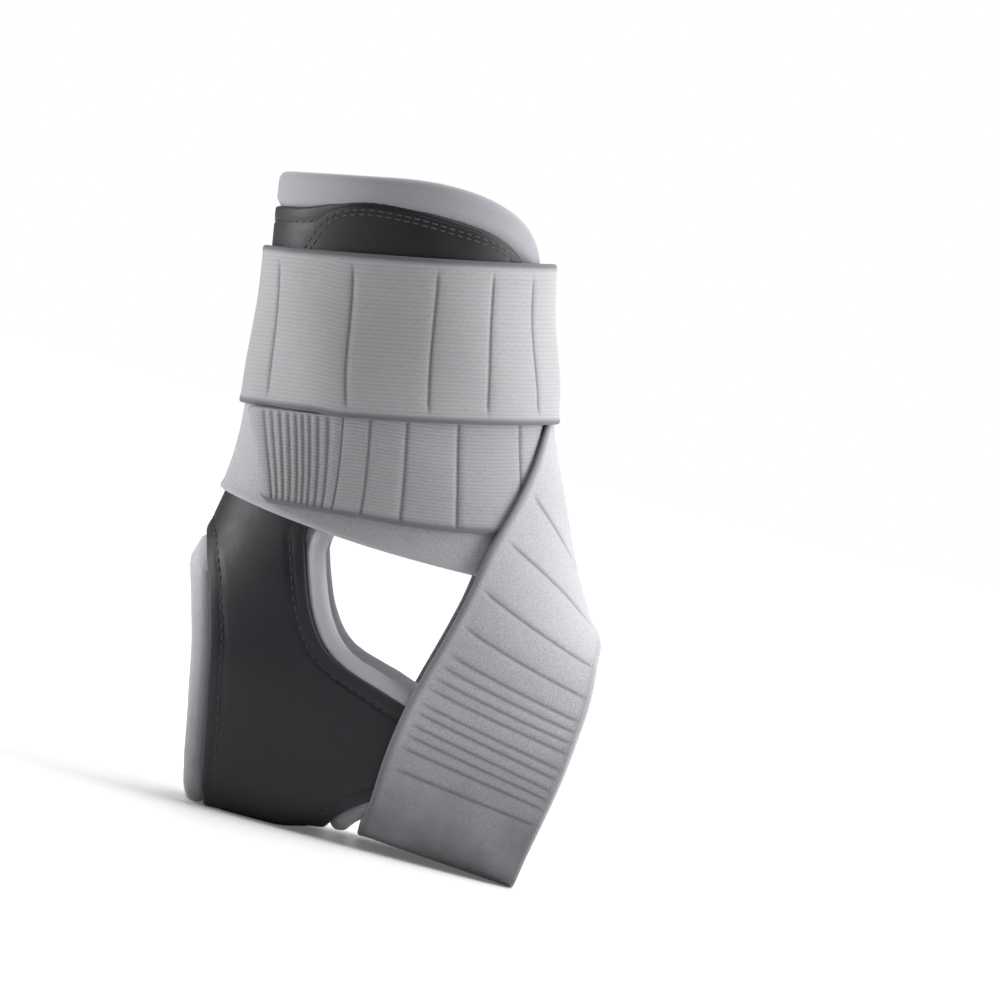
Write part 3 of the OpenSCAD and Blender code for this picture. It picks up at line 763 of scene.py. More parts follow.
def measure_wrap(wrap):
    """Distance from the nearest free edge, place along each edge, and how near the top edge is."""
    p = wrap.points(MEASURE_T)
    front, heel = wrap.edges()
    gap_front, along_front = nearest_on(p, front)
    gap_heel, along_heel = nearest_on(p, heel)
    gap_top, _ = nearest_on(p, p[-1])
    gap_side, _ = nearest_on(p, p[:, 0])
    top_share = gap_side ** 2 / (gap_side ** 2 + gap_top ** 2 + 1e-6)
    return {"gap": np.minimum(gap_front, gap_heel), "front": gap_front, "heel": gap_heel,
            "front_along": along_front, "heel_along": along_heel, "top_share": top_share}


liner_edges, shell_edges = measure_wrap(liner_wrap), measure_wrap(shell_wrap)
print("farthest from an edge, in mm:", np.round([liner_edges["gap"].max(), shell_edges["gap"].max()]))

# %% [markdown]
# The liner's border is a soft roll: foam folded into its cover cloth. Its section rises round from the
# free edge, runs flat, and dips under the shell's edge where the seam pulls it in. The shell is thin
# and its edge is turned under. A sewn line runs along it and draws it down a little. Foam is often
# blown up by a cloth simulation, but this roll is even and firm, so its section is drawn.

# %% Liner and shell
# The liner's section, as distances from the last: its folded edge, its crown, and its tuck
FOLD_T, SIDE_CROWN_T, TOP_CROWN_T, TUCKED_T = 1.4, 3.7, 3.9, 1.25
ROLL_W, FOLD_W, TUCK_BEFORE, TUCK_W = 2.8, 2.4, 2, 3.2
# The shell's section: its turned edge, and the sewn line along it, with painted shade in its groove
SHELL_EDGE_T, SHELL_EDGE_W, TURNED_W, WORN_W = 2.45, 1.1, 1.5, 0.9
SEAM_INSET, SEAM_HALF_W, SEAM_DEPTH, SEAM_SHADE = 4.6, 0.55, 0.4, 0.5


def arc_rise(gap, width):
    """From 0 at an edge to 1 at width, round like a quarter circle."""
    return np.sqrt(1 - (1 - np.clip(gap / width, 0, 1)) ** 2)


def hump(gap, middle, half_width):
    """A soft ridge or groove, 1 at its middle."""
    return np.exp(-((gap - middle) / half_width) ** 2)


def mark_grid(crease, low, high):
    return np.stack(np.broadcast_arrays(crease, low, high), -1)


def wrap_sides(wrap, outer, inner, marks):
    """Outer and inner face of both halves; the inner one has no creases."""
    uv = np.stack([wrap.a, wrap.z], -1) / UV_MM
    inside = marks * [0, 1, 1]
    return [face for side in (1, -1) for face in (
        (wrap.points(outer, side), marks, uv), (wrap.points(inner, side), inside, uv))]


def make_liner():
    gap, top_share = liner_edges["gap"], liner_edges["top_share"]
    heel = liner_wrap.edges()[1]
    heel_gap, _ = nearest_on(heel, shell_wrap.edges()[1])
    heel_border = np.interp(liner_edges["heel_along"], path_length(heel), heel_gap)
    border = np.where(liner_edges["heel"] > gap, mix(SIDE_BORDER, TOP_BORDER, top_share), heel_border)
    roll = mix(FOLD_T, mix(SIDE_CROWN_T, TOP_CROWN_T, top_share), arc_rise(gap, ROLL_W))
    outer = mix(roll, TUCKED_T, ease((gap - border + TUCK_BEFORE) / TUCK_W))
    inner = FOLD_T * (1 - arc_rise(gap, FOLD_W))
    no_marks = np.zeros((*gap.shape, 3))
    return cloth_mesh("liner", wrap_sides(liner_wrap, outer, inner, no_marks), LINER_CLOTH)


def make_shell():
    gap = shell_edges["gap"]
    groove = hump(gap, SEAM_INSET, SEAM_HALF_W)
    outer = mix(SHELL_EDGE_T, SHELL_OUT, arc_rise(gap, SHELL_EDGE_W)) - SEAM_DEPTH * groove
    inner = mix(SHELL_EDGE_T, SHELL_IN, ease(gap / TURNED_W))
    # The seam's groove is darkened with painted shade, through the crease mark.
    marks = mark_grid(SEAM_SHADE * groove, hump(gap, 0, WORN_W), 0)
    return cloth_mesh("shell", wrap_sides(shell_wrap, outer, inner, marks), SHELL_CLOTH)


liner, shell = make_liner(), make_shell()

# %% [markdown]
# Cloth that crosses the ankle can't ride on one body, and a seam in the cloth at the joint would open
# when it bends. Each such piece here only has its transform applied, so it stays where it was laid.


def flex_with_ankle(piece):
    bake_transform(piece)


def stand_in(piece, slot_name, *nodes):
    """The piece takes the place of CAD nodes, which it hides; slot_name is not used."""
    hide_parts(*nodes)


stand_in(liner, "liner", "sole_liner", "near_heel_liner", "far_heel_liner", "achilles_liner",
         "cuff_liner")
stand_in(shell, "shell", "sole_panel", "near_heel_panel", "far_heel_panel", "achilles_panel",
         "cuff_panel")
for piece in (liner, shell):
    flex_with_ankle(piece)

# %% [markdown]
# ## Straps
# Every strap is the same thing: a woven band with rounded edges, some with a hem, creased across where
# it has been stretched. One function lays such a band along any route. A curve with a flat bevel
# twists where the route turns, so the band's two edges are given instead, and the points between them
# lie on the last.

# %% One band along a route
LINE_DEPTH, LINE_HALF_W, LINE_FADE = 0.45, 0.6, 0.3
RIM_W, HEM_AT, HEM_HALF_W = 0.75, 1.3, 1.0
ACROSS_STEPS, ACROSS_STEP = (0, 0.15, 0.4, 0.75, 1.2, 1.8, 2.6, 3.6), 2.6
ROUTE_SAMPLES, WIDTH_SAMPLES, RING_CLOSE = 900, 25, 0.3


def band_rows(place, inner, reach, lines, step, ring):
    """Stations along a band, their lengths along it, its width at each, its length and its creases."""
    w = np.linspace(*reach, ROUTE_SAMPLES)
    along = path_length(place(w, 0.5, inner(w, 0.5) + STRAP_T / 2))
    total, marks = along[-1], np.interp(lines, w, along)
    if ring:
        even = np.linspace(0, total, int(total / step))
        length = np.sort(np.concatenate([even, round_marks(marks)]))
        length = length[(length >= 0) & (length < total - RING_CLOSE)]
    else:
        length = steps_along(total, step, ACROSS_STEPS, marks)
    station = np.interp(length, along, w)
    w, u = station[:, None], np.linspace(0, 1, WIDTH_SAMPLES)[None]
    edge_to_edge = place(w, u, inner(w, u) + STRAP_T / 2)
    width = np.linalg.norm(np.diff(edge_to_edge, axis=1), axis=-1).sum(1)
    return station, length, width, total, marks


def band(name, material, place, inner, reach, lines=(), stops=0, thick=STRAP_T, hems=(0, 0),
         edging=(1.6, 1.6), margins=(3, 3), corner_r=(0, 0), step=2.2, ring=False):
    """A woven band: place(w, u, t) is a point at station w and share u across; lines are stations of
    creases, which keep off the edges by the margins and fade out below the shares in stops. Pairs give
    the lower edge and then the upper one, or the start and then the end."""
    station, length, width, total, marks = band_rows(place, inner, reach, lines, step, ring)
    across = steps_along(width.mean(), ACROSS_STEP, ACROSS_STEPS) / width.mean()
    w, u = np.meshgrid(station, across, indexing="ij")
    low, high = u * width[:, None], (1 - u) * width[:, None]
    start, end = length, total - length
    rim = np.minimum(low, high)
    if not ring:
        rim = np.minimum(rim, np.minimum(start, end)[:, None])
    half = thick / 2 * arc_rise(rim, RIM_W)
    hem = sum(rise * hump(gap, HEM_AT, HEM_HALF_W) for rise, gap in zip(hems, (low, high)))
    crease = 0 * u
    for mark, stop in np.broadcast(marks, stops):
        crease += hump(length, mark, LINE_HALF_W)[:, None] * ease((u - stop) / LINE_FADE + 1)
    # Margins and edgings are half faded at their own width
    crease = np.clip(crease, 0, 1) * ease(low / margins[0] - 0.5) * ease(high / margins[1] - 0.5)
    cut = sum(r * (1 - arc_rise(gap, r)) for r, gap in zip(corner_r, (start, end)) if r) + 0 * length
    cut = (cut / width)[:, None]
    share = cut + u * (1 - 2 * cut)
    middle = inner(w, share) + thick / 2
    outer = place(w, share, middle + half * (1 + hem) - LINE_DEPTH * crease)
    under = place(w, share, middle - half)
    uv = np.stack([np.broadcast_to(length[:, None], u.shape), low], -1) / UV_MM
    # The crease mark becomes painted shade in the materials; the edge marks are the edgings' tones.
    marked = mark_grid(crease, ease(1.5 - low / edging[0]), ease(1.5 - high / edging[1]))
    piece = cloth_mesh(name, [(outer, marked, uv), (under, marked, uv)], material, ring)
    return piece, width.max() * MM, total * MM


def sewn_band(name, material, slot_name, nodes, *route, **settings):
    """A band that stands for CAD nodes."""
    piece, width, length = band(name, material, *route, **settings)
    stand_in(piece, slot_name, *nodes)
    return piece


print(f"bands: {STRAP_T} mm thick, creases {LINE_DEPTH} mm deep")

# %% [markdown]
# The long instep strap is one piece: it starts on the far side's back, comes forward over the instep,
# goes down the far side, under the arch, and up the near side to cross over itself. Its edges follow
# a few stations that were judged from the photograph. A spline through them would wave between
# stations, so a moving average turns them into even curves.

# %% Stations of the long instep strap
ARCH_X, ARCH_W, FAR_HINGE_A, STRAP_OVERLAP = 19.5, 50, 100, 8
ARCH_FRONT = ARCH_X + ARCH_W

# On the side wall: station, upper edge x and height, lower edge x and height
SIDE_PATH = np.array([
    [0, ARCH_X - 0.5, 17, ARCH_FRONT + 2.2, 11],
    [1, ARCH_X + 0.5, 31.5, ARCH_FRONT + 5.5, 25.5],
    [2, ARCH_X + 3.5, ANKLE_Z - 26, ARCH_FRONT + 8.7, ANKLE_Z - 32],
    [3, ARCH_X + 8, ANKLE_Z - 12, ARCH_FRONT + 10.3, ANKLE_Z - 20],
    [4, ARCH_X + 13.5, ANKLE_Z + 3.5, ARCH_FRONT + 10.8, ANKLE_Z - 9.5],
    [5, ARCH_X + 19, ANKLE_Z + 19, ARCH_FRONT + 10, ANKLE_Z - 1],
    [6, ARCH_X + 23, ANKLE_Z + 36, ARCH_FRONT + 8, ANKLE_Z + 6]])


def edge_angle(x, z):
    return float(angle_at(x, z, THIRD_IN + STRAP_T))


def under_upper(a):
    """The upper edge of a strap that ends under the upper strap."""
    return leaning(UPPER_LOW, a) + STRAP_OVERLAP


def cuff_station(s, a, low_a, low_z):
    """A station whose upper edge is under the upper strap."""
    return [s, a, float(under_upper(a)), low_a, low_z]


# Round the cuff: station, upper edge angle and height, lower edge angle and height
CUFF_PATH = np.array([
    [4, edge_angle(ARCH_X + 12, ANKLE_Z + 3.5), ANKLE_Z + 3.5,
     edge_angle(ARCH_FRONT + 8.6, ANKLE_Z - 9.5), ANKLE_Z - 9.5],
    [5, edge_angle(ARCH_X + 16.5, ANKLE_Z + 19), ANKLE_Z + 19, 8, ANKLE_Z + 0.5],
    [6, edge_angle(ARCH_X + 21.5, ANKLE_Z + 36), ANKLE_Z + 36, -10, ANKLE_Z + 7.5],
    [7, edge_angle(ARCH_X + 25, ANKLE_Z + 52), ANKLE_Z + 52, -25, WRAP_Z - 6],
    [8, 12, float(under_upper(12)) - 6, -40, WRAP_Z - 2.5],
    cuff_station(9, -15, -58, WRAP_Z - 0.9),
    cuff_station(10, -55, -78, WRAP_Z - 0.3),
    cuff_station(11, -FAR_HINGE_A, -FAR_HINGE_A, WRAP_Z + 0.6),
    cuff_station(12, -140, -140, WRAP_Z + 3.4),
    cuff_station(13, -180, -180, WRAP_Z + 6),
    cuff_station(14, -222, -222, WRAP_Z + 3.8),
    cuff_station(15, -261, -261, WRAP_Z + 1)])
FAR_END_S = 15
PATH_S, SMOOTH_REACH = np.linspace(0, FAR_END_S, 451), 26


def smoothed(values, reach):
    """A moving average that keeps both ends where they are."""
    start = 2 * values[0] - values[reach:0:-1]
    end = 2 * values[-1] - values[-2:-reach - 2:-1]
    kernel = np.hanning(2 * reach + 3)[1:-1]
    return np.convolve(np.concatenate([start, values, end]), kernel / kernel.sum(), "valid")


def smooth_edges(path):
    s = np.clip(PATH_S, path[0, 0], path[-1, 0])
    return [smoothed(curve(path, s, k), SMOOTH_REACH) for k in (1, 2, 3, 4)]


SIDE_EDGES, CUFF_EDGES = smooth_edges(SIDE_PATH), smooth_edges(CUFF_PATH)
print(f"instep strap: {len(SIDE_PATH)} stations on the wall, {len(CUFF_PATH)} round the cuff")

# %% Route of the long instep strap
ARCH_RISE, ARCH_TAPER, ARCH_TURN_S = 4, 1.5, 0.5
# Where it climbs over the other straps and comes down to its tab, and where the two paths mix
CLIMB_S, CLIMB_LENGTH, COME_DOWN_S, CUFF_START_S, MIX_LENGTH = 3, 1.9, 10, 4, 1.6
# The rows slant, so that the lower edge lags behind the upper one
LINE_SLANT, SLANT_START_S, SLANT_LENGTH, SLANT_END_S = 0.38, 0.2, 2, 8


def near_strap_in(s):
    """Distance from the last: it climbs over the other straps, then comes down to its tab."""
    over = mix(FIRST_IN, THIRD_IN, ease((s - CLIMB_S) / CLIMB_LENGTH))
    return np.where(s < COME_DOWN_S, over, mix(THIRD_IN, TAB_IN, ease(s - COME_DOWN_S)))


def long_strap_place(s, u):
    """Angle and height at station s: by x on the side wall, by angle round the cuff, mixed between."""
    side_x, side_z, cuff_a, cuff_z = (
        mix(np.interp(s, PATH_S, edges[k + 2]), np.interp(s, PATH_S, edges[k]), u)
        for edges in (SIDE_EDGES, CUFF_EDGES) for k in (0, 1))
    share = ease((s - CUFF_START_S) / MIX_LENGTH)
    side_a = angle_at(side_x, side_z, near_strap_in(s) + STRAP_T / 2)
    return mix(side_a, cuff_a, share), mix(side_z, cuff_z, share)


def long_strap_point(w, u, t):
    """Station w: far side below -1, under the arch between -1 and 1, near side above 1."""
    w, u, t = floats(w, u, t)
    side, s = np.where(w < 0, -1, 1), np.maximum(np.abs(w) - 1, 0)
    s = s - LINE_SLANT * (1 - u) * ease((s - SLANT_START_S) / SLANT_LENGTH) * ease(SLANT_END_S - s)
    a, z = long_strap_place(s, u)
    wall = on_last(side * a, z, t)
    turn = np.radians(90 * np.clip((1 - np.abs(w)) / ARCH_TURN_S, 0, 1))
    flat = np.clip(np.abs(w) / ARCH_TURN_S, 0, 1)
    r = wall[..., 2] - ARCH_RISE * u - (FIRST_OUT - t)
    x = wall[..., 0] - ARCH_TAPER * np.sin(turn)
    y = (np.abs(wall[..., 1]) - r) * flat + r * np.cos(turn)
    under = np.stack([x, -side * y, wall[..., 2] - r * np.sin(turn)], -1)
    return np.where((np.abs(w) < 1)[..., None], under, wall)


def long_strap_in(w, u):
    return near_strap_in(w - 1) + 0 * u


print("instep strap at the arch:", np.round(long_strap_point(0, 0.5, FIRST_IN), 1))

# %% Lay the long instep strap
# Heights at which creases and sewn lines meet the rear edge, on the near side and on the far side
NEAR_LINES = [28, 35, 39, 42.5, 46.5, 49.5, 54.5, 58, 62, 66, 74.5, 86, 102]
FAR_LINES = [30, 45, 62, 80, 100]
# One more crease crosses the front; it and the one before it fade out below these shares of the width
FRONT_LINE_S, FRONT_STOPS = 6.65, [0.35, 0.65]
# The last stations of the side wall and of the strap on the near side
SIDE_END_S, NEAR_END_S = 6, 11


def rear_station(z):
    """The station on the side wall where the rear edge is at height z."""
    on_wall = PATH_S < SIDE_END_S
    return np.interp(z, SIDE_EDGES[1][on_wall], PATH_S[on_wall])


near_lines = 1 + np.append(rear_station(NEAR_LINES), FRONT_LINE_S)
far_lines = -1 - rear_station(FAR_LINES)
whole_lines = len(near_lines) + len(far_lines) - len(FRONT_STOPS)
long_strap = sewn_band(
    "instep_strap", INSTEP_ELASTIC, "elastic",
    ("stirrup_strap", "near_strap_crossing", "far_strap_crossing", "near_strap_wrap",
     "far_strap_wrap"), long_strap_point, long_strap_in, (-1 - FAR_END_S, 1 + NEAR_END_S),
    lines=np.concatenate([far_lines, near_lines]), stops=np.append(np.zeros(whole_lines), FRONT_STOPS),
    hems=(0.5, 0.25), edging=(1.6, 2.0), margins=(3, 5))
flex_with_ankle(long_strap)

# %% [markdown]
# The lower strap goes once round the front and ends in a ribbed tab that is pressed onto the loop face
# behind the near side. The tab peels. Two pieces that meet at the hinge would show a gap there, so
# strap and tab are one band.

# %% Lower strap and its tab
LOWER_TILT, LOWER_FRONT_RISE = 5, 2.6
LOWER_START_A, NEAR_HINGE_A, TAB_LOW_A, TAB_HIGH_A = -46, 107, 136, 158
TAB_END_A = (TAB_LOW_A + TAB_HIGH_A) / 2
TAB_FRAY, TAB_FRAY_A, FRAY_TURN, FRAY_START = 1.2, 5, 7, 0.6
# Where the strap comes out from under the upper one, and how far it stays under its edge
TAB_OUT_A, TAB_OUT_LENGTH_A, TAB_TUCK = 106, 5, 0.9
LOWER_CLIMB_A, LOWER_CLIMB_LENGTH_A = 60, 40
TAB_PRESS, TAB_PRESS_A = 0.5, 4
# How far the rows slant: angle at half height, and the lead of the upper edge over the lower one
LOWER_SLANT = np.array([
    [0, 0], [37, -7], [67, -5.7], [87, -3.7], [99, -2.4], [110, -1], [115, 2.5], [120, 4.6],
    [130, 8.4], [138, 13.5], [TAB_END_A, TAB_HIGH_A - TAB_LOW_A]])
# Angles of the creases, then of the tab's ribs
LOWER_LINES = [-36, -12, 37, 67, 86.6, 98.8]
TAB_RIBS = [108.9, 113.6, 117, 120.1, 122.7, 125.3, 128.4, 131.7, 135.1, 138.5]


def lower_edge(a):
    tilt = LOWER_TILT * np.cos(np.radians(a))
    return LOWER_STRAP_Z + tilt + LOWER_FRONT_RISE * ease((90 - np.abs(a)) / 90)


def lower_strap_angle(w, u):
    """Stations are angles at half height; the rows slant as the creases and the tab's end do."""
    fray = TAB_FRAY * np.sin(FRAY_TURN * u + FRAY_START)
    fray = fray * ease((w - TAB_END_A + TAB_FRAY_A) / TAB_FRAY_A)
    return w + np.interp(w, *LOWER_SLANT.T) * (u - 0.5) + fray


def below_upper(a):
    """The upper edge of a tab that stays clear of the upper strap."""
    return leaning(UPPER_LOW, a) - 1


def lower_strap_point(w, u, t):
    a = lower_strap_angle(w, u)
    top = mix(under_upper(a), below_upper(a) + TAB_TUCK, ease((a - TAB_OUT_A) / TAB_OUT_LENGTH_A))
    return on_last(a, mix(lower_edge(a), top, u), t)


def lower_strap_in(w, u):
    climb = ease((lower_strap_angle(w, u) - LOWER_CLIMB_A) / LOWER_CLIMB_LENGTH_A)
    press = TAB_PRESS * ease((w - TAB_END_A + TAB_PRESS_A) / TAB_PRESS_A)
    return mix(SECOND_IN, TAB_IN, climb) - press


def peel_with(piece, a, spread, z, t, side=1):
    """Works out the ends of the hinge line at angle a, but only bakes the piece where it lies."""
    start, end = (tuple((on_last(side * (a + d), z, t) * MM).tolist()) for d in (-spread, spread))
    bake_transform(piece)


lower_strap = sewn_band(
    "lower_strap_band", LOWER_ELASTIC, "elastic", ("lower_strap", "lower_strap_tab"),
    lower_strap_point, lower_strap_in, (LOWER_START_A, TAB_END_A), lines=LOWER_LINES + TAB_RIBS,
    hems=(0.3, 0), edging=(1.8, 0.6), margins=(1.5, 1), corner_r=(0, 3))
peel_with(lower_strap, NEAR_HINGE_A, spread=2.5, z=112, t=TAB_IN)

# %% [markdown]
# The instep strap's own tab closes behind the far side. It starts where the long strap ends, with the
# same section. It could be the end of the long strap, but it is made as a piece of its own.

# %% Instep strap tab
FAR_TAB_END_A, FAR_TAB_ROUND, FAR_TAB_OUT_A = 142, 2, 3
PRESS_FROM, PRESS_SHARE = 0.96, 0.04
WRAP_RISE, WRAP_RISE_A, WRAP_RISE_LENGTH_A = 6, 85, 95


def wrap_low(a):
    """The lower edge of the wrap behind the side, which rises to the back."""
    return WRAP_Z + WRAP_RISE * ease((a - WRAP_RISE_A) / WRAP_RISE_LENGTH_A)


def far_tab_point(w, u, t):
    a = mix(FAR_HINGE_A, FAR_TAB_END_A + FAR_TAB_ROUND * np.sin(3 * u), w)
    top = mix(under_upper(a), below_upper(a), ease((a - FAR_HINGE_A) / FAR_TAB_OUT_A))
    return on_last(-a, mix(wrap_low(a), top, u), t)


def far_tab_in(w, u):
    return TAB_IN - TAB_PRESS * ease((w - PRESS_FROM) / PRESS_SHARE) + 0 * u


instep_tab = sewn_band(
    "instep_strap_tab", INSTEP_ELASTIC, "elastic", ("near_strap_tab",), far_tab_point, far_tab_in,
    (0, 1), lines=np.linspace(0.08, 0.8, 7), hems=(0.5, 0.25), edging=(1.6, 2.0), corner_r=(0, 4))
peel_with(instep_tab, FAR_HINGE_A + 1.5, spread=1.5, z=110, t=TAB_IN, side=-1)

# %% [markdown]
# The upper strap is the widest, a ring of ribbed elastic with grey edges, which closes on the far side
# with a tab on top of itself. A plain cylinder would cut through the straps below it, so it flares
# where it covers them.

# %% Upper strap
FLARE_A, FLARE_LENGTH_A, FLARE_W = 150, 40, 28
# The lower edge hangs a little over the tabs below it, so that no light shows between them
HANG, HANG_A, HANG_LENGTH_A = 0.9, 122, 14
# Creases in the side view: x and height at the upper end, then at the lower end
UPPER_LINES = [
    ((-49.9, 172.4), (-41.7, 125.8)), ((-27.4, 175.9), (-16.7, 130.7)), ((-0.2, 179.8), (7.9, 134.8)),
    ((16.8, 183.2), (25, 137.9)), ((28.5, 185), (38.5, 140.1))]
FAR_UPPER_LINES = [200, 246, 318, 340]


def upper_strap_in(a, u):
    lift = mix(UPPER_BACK_IN, UPPER_EDGE_IN, ease((FLARE_A - side_angle(a)) / FLARE_LENGTH_A))
    return mix(lift, UPPER_IN, ease((u * UPPER_STRAP_W - STRAP_OVERLAP - 1) / FLARE_W))


def upper_strap_point(a, u, t):
    low = leaning(UPPER_LOW, a) - HANG * ease((HANG_A - side_angle(a)) / HANG_LENGTH_A)
    return on_last(a, mix(low, leaning(UPPER_TOP, a), u), t)


line_ends = np.array([[float(angle_at(x, z, UPPER_IN + 2)) for x, z in line] for line in UPPER_LINES])
near_middles, near_slants = line_ends.mean(1)[::-1], (line_ends[:, 0] - line_ends[:, 1])[::-1]
slant_a = np.concatenate([[0], near_middles, FAR_UPPER_LINES, [360]])
slant_by = np.concatenate([[0], near_slants, np.zeros(len(FAR_UPPER_LINES) + 1)])


def ring_angle(w, u):
    """The ring's rows slant as its creases do."""
    return w + np.interp(w, slant_a, slant_by) * (u - 0.5)


upper_strap = sewn_band(
    "upper_strap_ring", UPPER_ELASTIC, "elastic", ("upper_strap",),
    lambda w, u, t: upper_strap_point(ring_angle(w, u), u, t),
    lambda w, u: upper_strap_in(ring_angle(w, u), u), (0, 360),
    lines=np.concatenate([near_middles, FAR_UPPER_LINES]),
    hems=(0.25, 0.25), edging=(1.7, 1.6), margins=(4, 5), ring=True)
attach(upper_strap, "cuff")

# %% Upper strap tab
UPPER_HINGE_A, UPPER_TAB_END_A, UPPER_TAB_INSET = 60, 112.5, 2
UPPER_TAB_LIFT, LIFT_START, LIFT_RATE = STRAP_T + LOOP_T + HOOK_T + 3 * GAP, 0.35, 8


def upper_tab_share(u, margin=0):
    """Shares across the tab, as shares across the strap that it closes on."""
    inset = (UPPER_TAB_INSET + margin) / UPPER_STRAP_W
    return mix(inset, 1 - inset, u)


def upper_tab_point(w, u, t):
    return upper_strap_point(-mix(UPPER_HINGE_A, UPPER_TAB_END_A, w), upper_tab_share(u), t)


def upper_tab_in(w, u):
    a = mix(UPPER_HINGE_A, UPPER_TAB_END_A, w)
    return upper_strap_in(a, upper_tab_share(u)) + UPPER_TAB_LIFT * ease(LIFT_START + w * LIFT_RATE)


upper_tab = sewn_band(
    "upper_strap_flap", UPPER_ELASTIC, "elastic", ("upper_strap_tab",), upper_tab_point, upper_tab_in,
    (0, 1), lines=np.linspace(0.1, 0.9, 7), hems=(0.25, 0.25), corner_r=(0, 5))
peel_with(upper_tab, UPPER_HINGE_A + 2, spread=2, z=160, t=UPPER_IN + 3, side=-1)

# %% [markdown]
# ## Stay pockets
# Each side has a stiff stay, slipped in through a pocket whose arched cover is sewn on the shell under
# the top edge. A cover projected onto the shell would follow every ripple, so it is a band too, laid
# round the cuff, with its upper edge on the arch.

# %% Pocket covers
POCKET_FRONT_A, POCKET_BACK_A, POCKET_DEPTH = 46, 142, 29
POCKET_BELOW, POCKET_DROP, DROP_POWER, POCKET_LEAST = 1.5, 13, 6, 2
COVER_T, COVER_SUNK = 0.9, 0.25


def pocket_low(a):
    return leaning(TOP_Z - POCKET_DEPTH, a)


def pocket_arch(a):
    """The cover's upper edge: just below the shell's, and rounded down at the back."""
    middle, half = (POCKET_FRONT_A + POCKET_BACK_A) / 2, (POCKET_BACK_A - POCKET_FRONT_A) / 2
    drop = POCKET_DROP * np.clip((a - middle) / half, 0, 1) ** DROP_POWER
    return np.maximum(pocket_low(a) + POCKET_LEAST, shell_top(a) - POCKET_BELOW - drop)


def make_pocket(name, node, side):
    cover = sewn_band(
        name, POCKET_CLOTH, "shell", (node,),
        lambda a, u, t: on_last(side * a, mix(pocket_low(a), pocket_arch(a), u), t),
        lambda a, u: POCKET_IN - COVER_SUNK + 0 * a + 0 * u, (POCKET_FRONT_A, POCKET_BACK_A),
        thick=COVER_T, edging=(0.6, 1.0), step=2.0)
    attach(cover, "cuff")


make_pocket("near_pocket_cover", "near_stay_pocket", 1)
make_pocket("far_pocket_cover", "far_stay_pocket", -1)

# %% [markdown]
# ## Stitches
# A seam is hundreds of short stitches, so it is a job for Geometry Nodes: a path goes in, points are
# set along it at the stitch pitch, and a small capsule is put on each and turned along the path. An
# array along a curve would bend the capsules. The tree is built once, and every seam uses it with its
# own pitch and length.

# %% The stitch tree


def finish_tree(tree, given, copies, out):
    """Copies become plain mesh, with the material that the tree was given."""
    real = add(tree, "GeometryNodeRealizeInstances", {0: copies.outputs[0]})
    inputs = {"Geometry": real.outputs[0], "Material": given["Material"]}
    tree.links.new(add(tree, "GeometryNodeSetMaterial", inputs).outputs[0], out[0])


def make_stitch_tree():
    tree, given, out = new_tree(
        "stitches along a path", "Geometry",
        [("Geometry", "Geometry"), ("Pitch", "Float", 0.003), ("Stitch length", "Float", 0.002),
         ("Thread", "Float", 0.0003), ("Material", "Material")], [("Geometry", "Geometry")])
    path = add(tree, "GeometryNodeMeshToCurve", {"Mesh": given["Geometry"]})
    inputs = {"Curve": path.outputs[0], "Length": given["Pitch"]}
    points = add(tree, "GeometryNodeCurveToPoints", inputs, mode="LENGTH").outputs
    ball = add(tree, "GeometryNodeMeshUVSphere", {"Segments": 6, "Rings": 5, "Radius": 1})
    smooth = add(tree, "GeometryNodeSetShadeSmooth", {0: ball.outputs["Mesh"]})
    half = maths(tree, "MULTIPLY", given["Stitch length"], 0.5)
    size = add(tree, "ShaderNodeCombineXYZ", {0: given["Thread"], 1: given["Thread"], 2: half})
    stitches = add(tree, "GeometryNodeInstanceOnPoints", {
        "Points": points["Points"], "Instance": smooth.outputs[0], "Rotation": points["Rotation"],
        "Scale": size.outputs[0]})
    finish_tree(tree, given, stitches, out)
    return tree


def run_tree(name, mesh, tree, **values):
    """Run a node tree on a mesh with named inputs, and keep the result as a plain mesh object."""
    source = put_in_scene(name + ".path", mesh)
    modifier = source.modifiers.new("tree", "NODES")
    modifier.node_group = tree
    for label, value in by_label(values).items():
        modifier[tree.interface.items_tree[label].identifier] = value
    evaluated = source.evaluated_get(bpy.context.evaluated_depsgraph_get())
    result = bpy.data.meshes.new_from_object(evaluated)
    source.modifiers.remove(modifier)
    bpy.data.objects.remove(source)
    result.name = name
    print(f"{name}: {len(result.polygons)} faces")
    return put_in_scene(name, result)


STITCHES = make_stitch_tree()
print("tree:", STITCHES.name)

# %% Seams on the body
SEAM_STEP, SEAM_EVEN = 1.0, 3
BODY_STITCH = {"Pitch": 0.0031, "Stitch_length": 0.0023, "Thread": 0.00026}
SHELL_SEAM_T, LINER_SEAM_T, LINER_SEAM_INSET = SHELL_OUT - 0.2, -0.05, SIDE_BORDER + 1


def level_line(points, gap, along, at):
    """The line on a grid at one distance from an edge, in the order of the edge."""
    grid = np.concatenate([along[..., None], points, gap[..., None] - at], -1)
    found = []
    for here, ahead in ((grid[:-1], grid[1:]), (grid[:, :-1], grid[:, 1:])):
        crosses = here[..., 4] * ahead[..., 4] < 0
        here, ahead = here[crosses], ahead[crosses]
        found.append(mix(here, ahead, here[:, 4:] / (here[:, 4:] - ahead[:, 4:])))
    line = np.concatenate(found)
    order, *places = line[np.argsort(line[:, 0])].T[:4]
    even = np.arange(order[0], order[-1], SEAM_STEP)
    return np.stack([smoothed(np.interp(even, order, place), SEAM_EVEN) for place in places], -1)


def body_seams(wrap, edges, at, t):
    """Lines at one distance from every free edge of a wrap, on both sides."""
    return [level_line(wrap.points(t, side), edges[edge], edges[edge + "_along"], at)
            for side in (1, -1) for edge in ("front", "heel")]


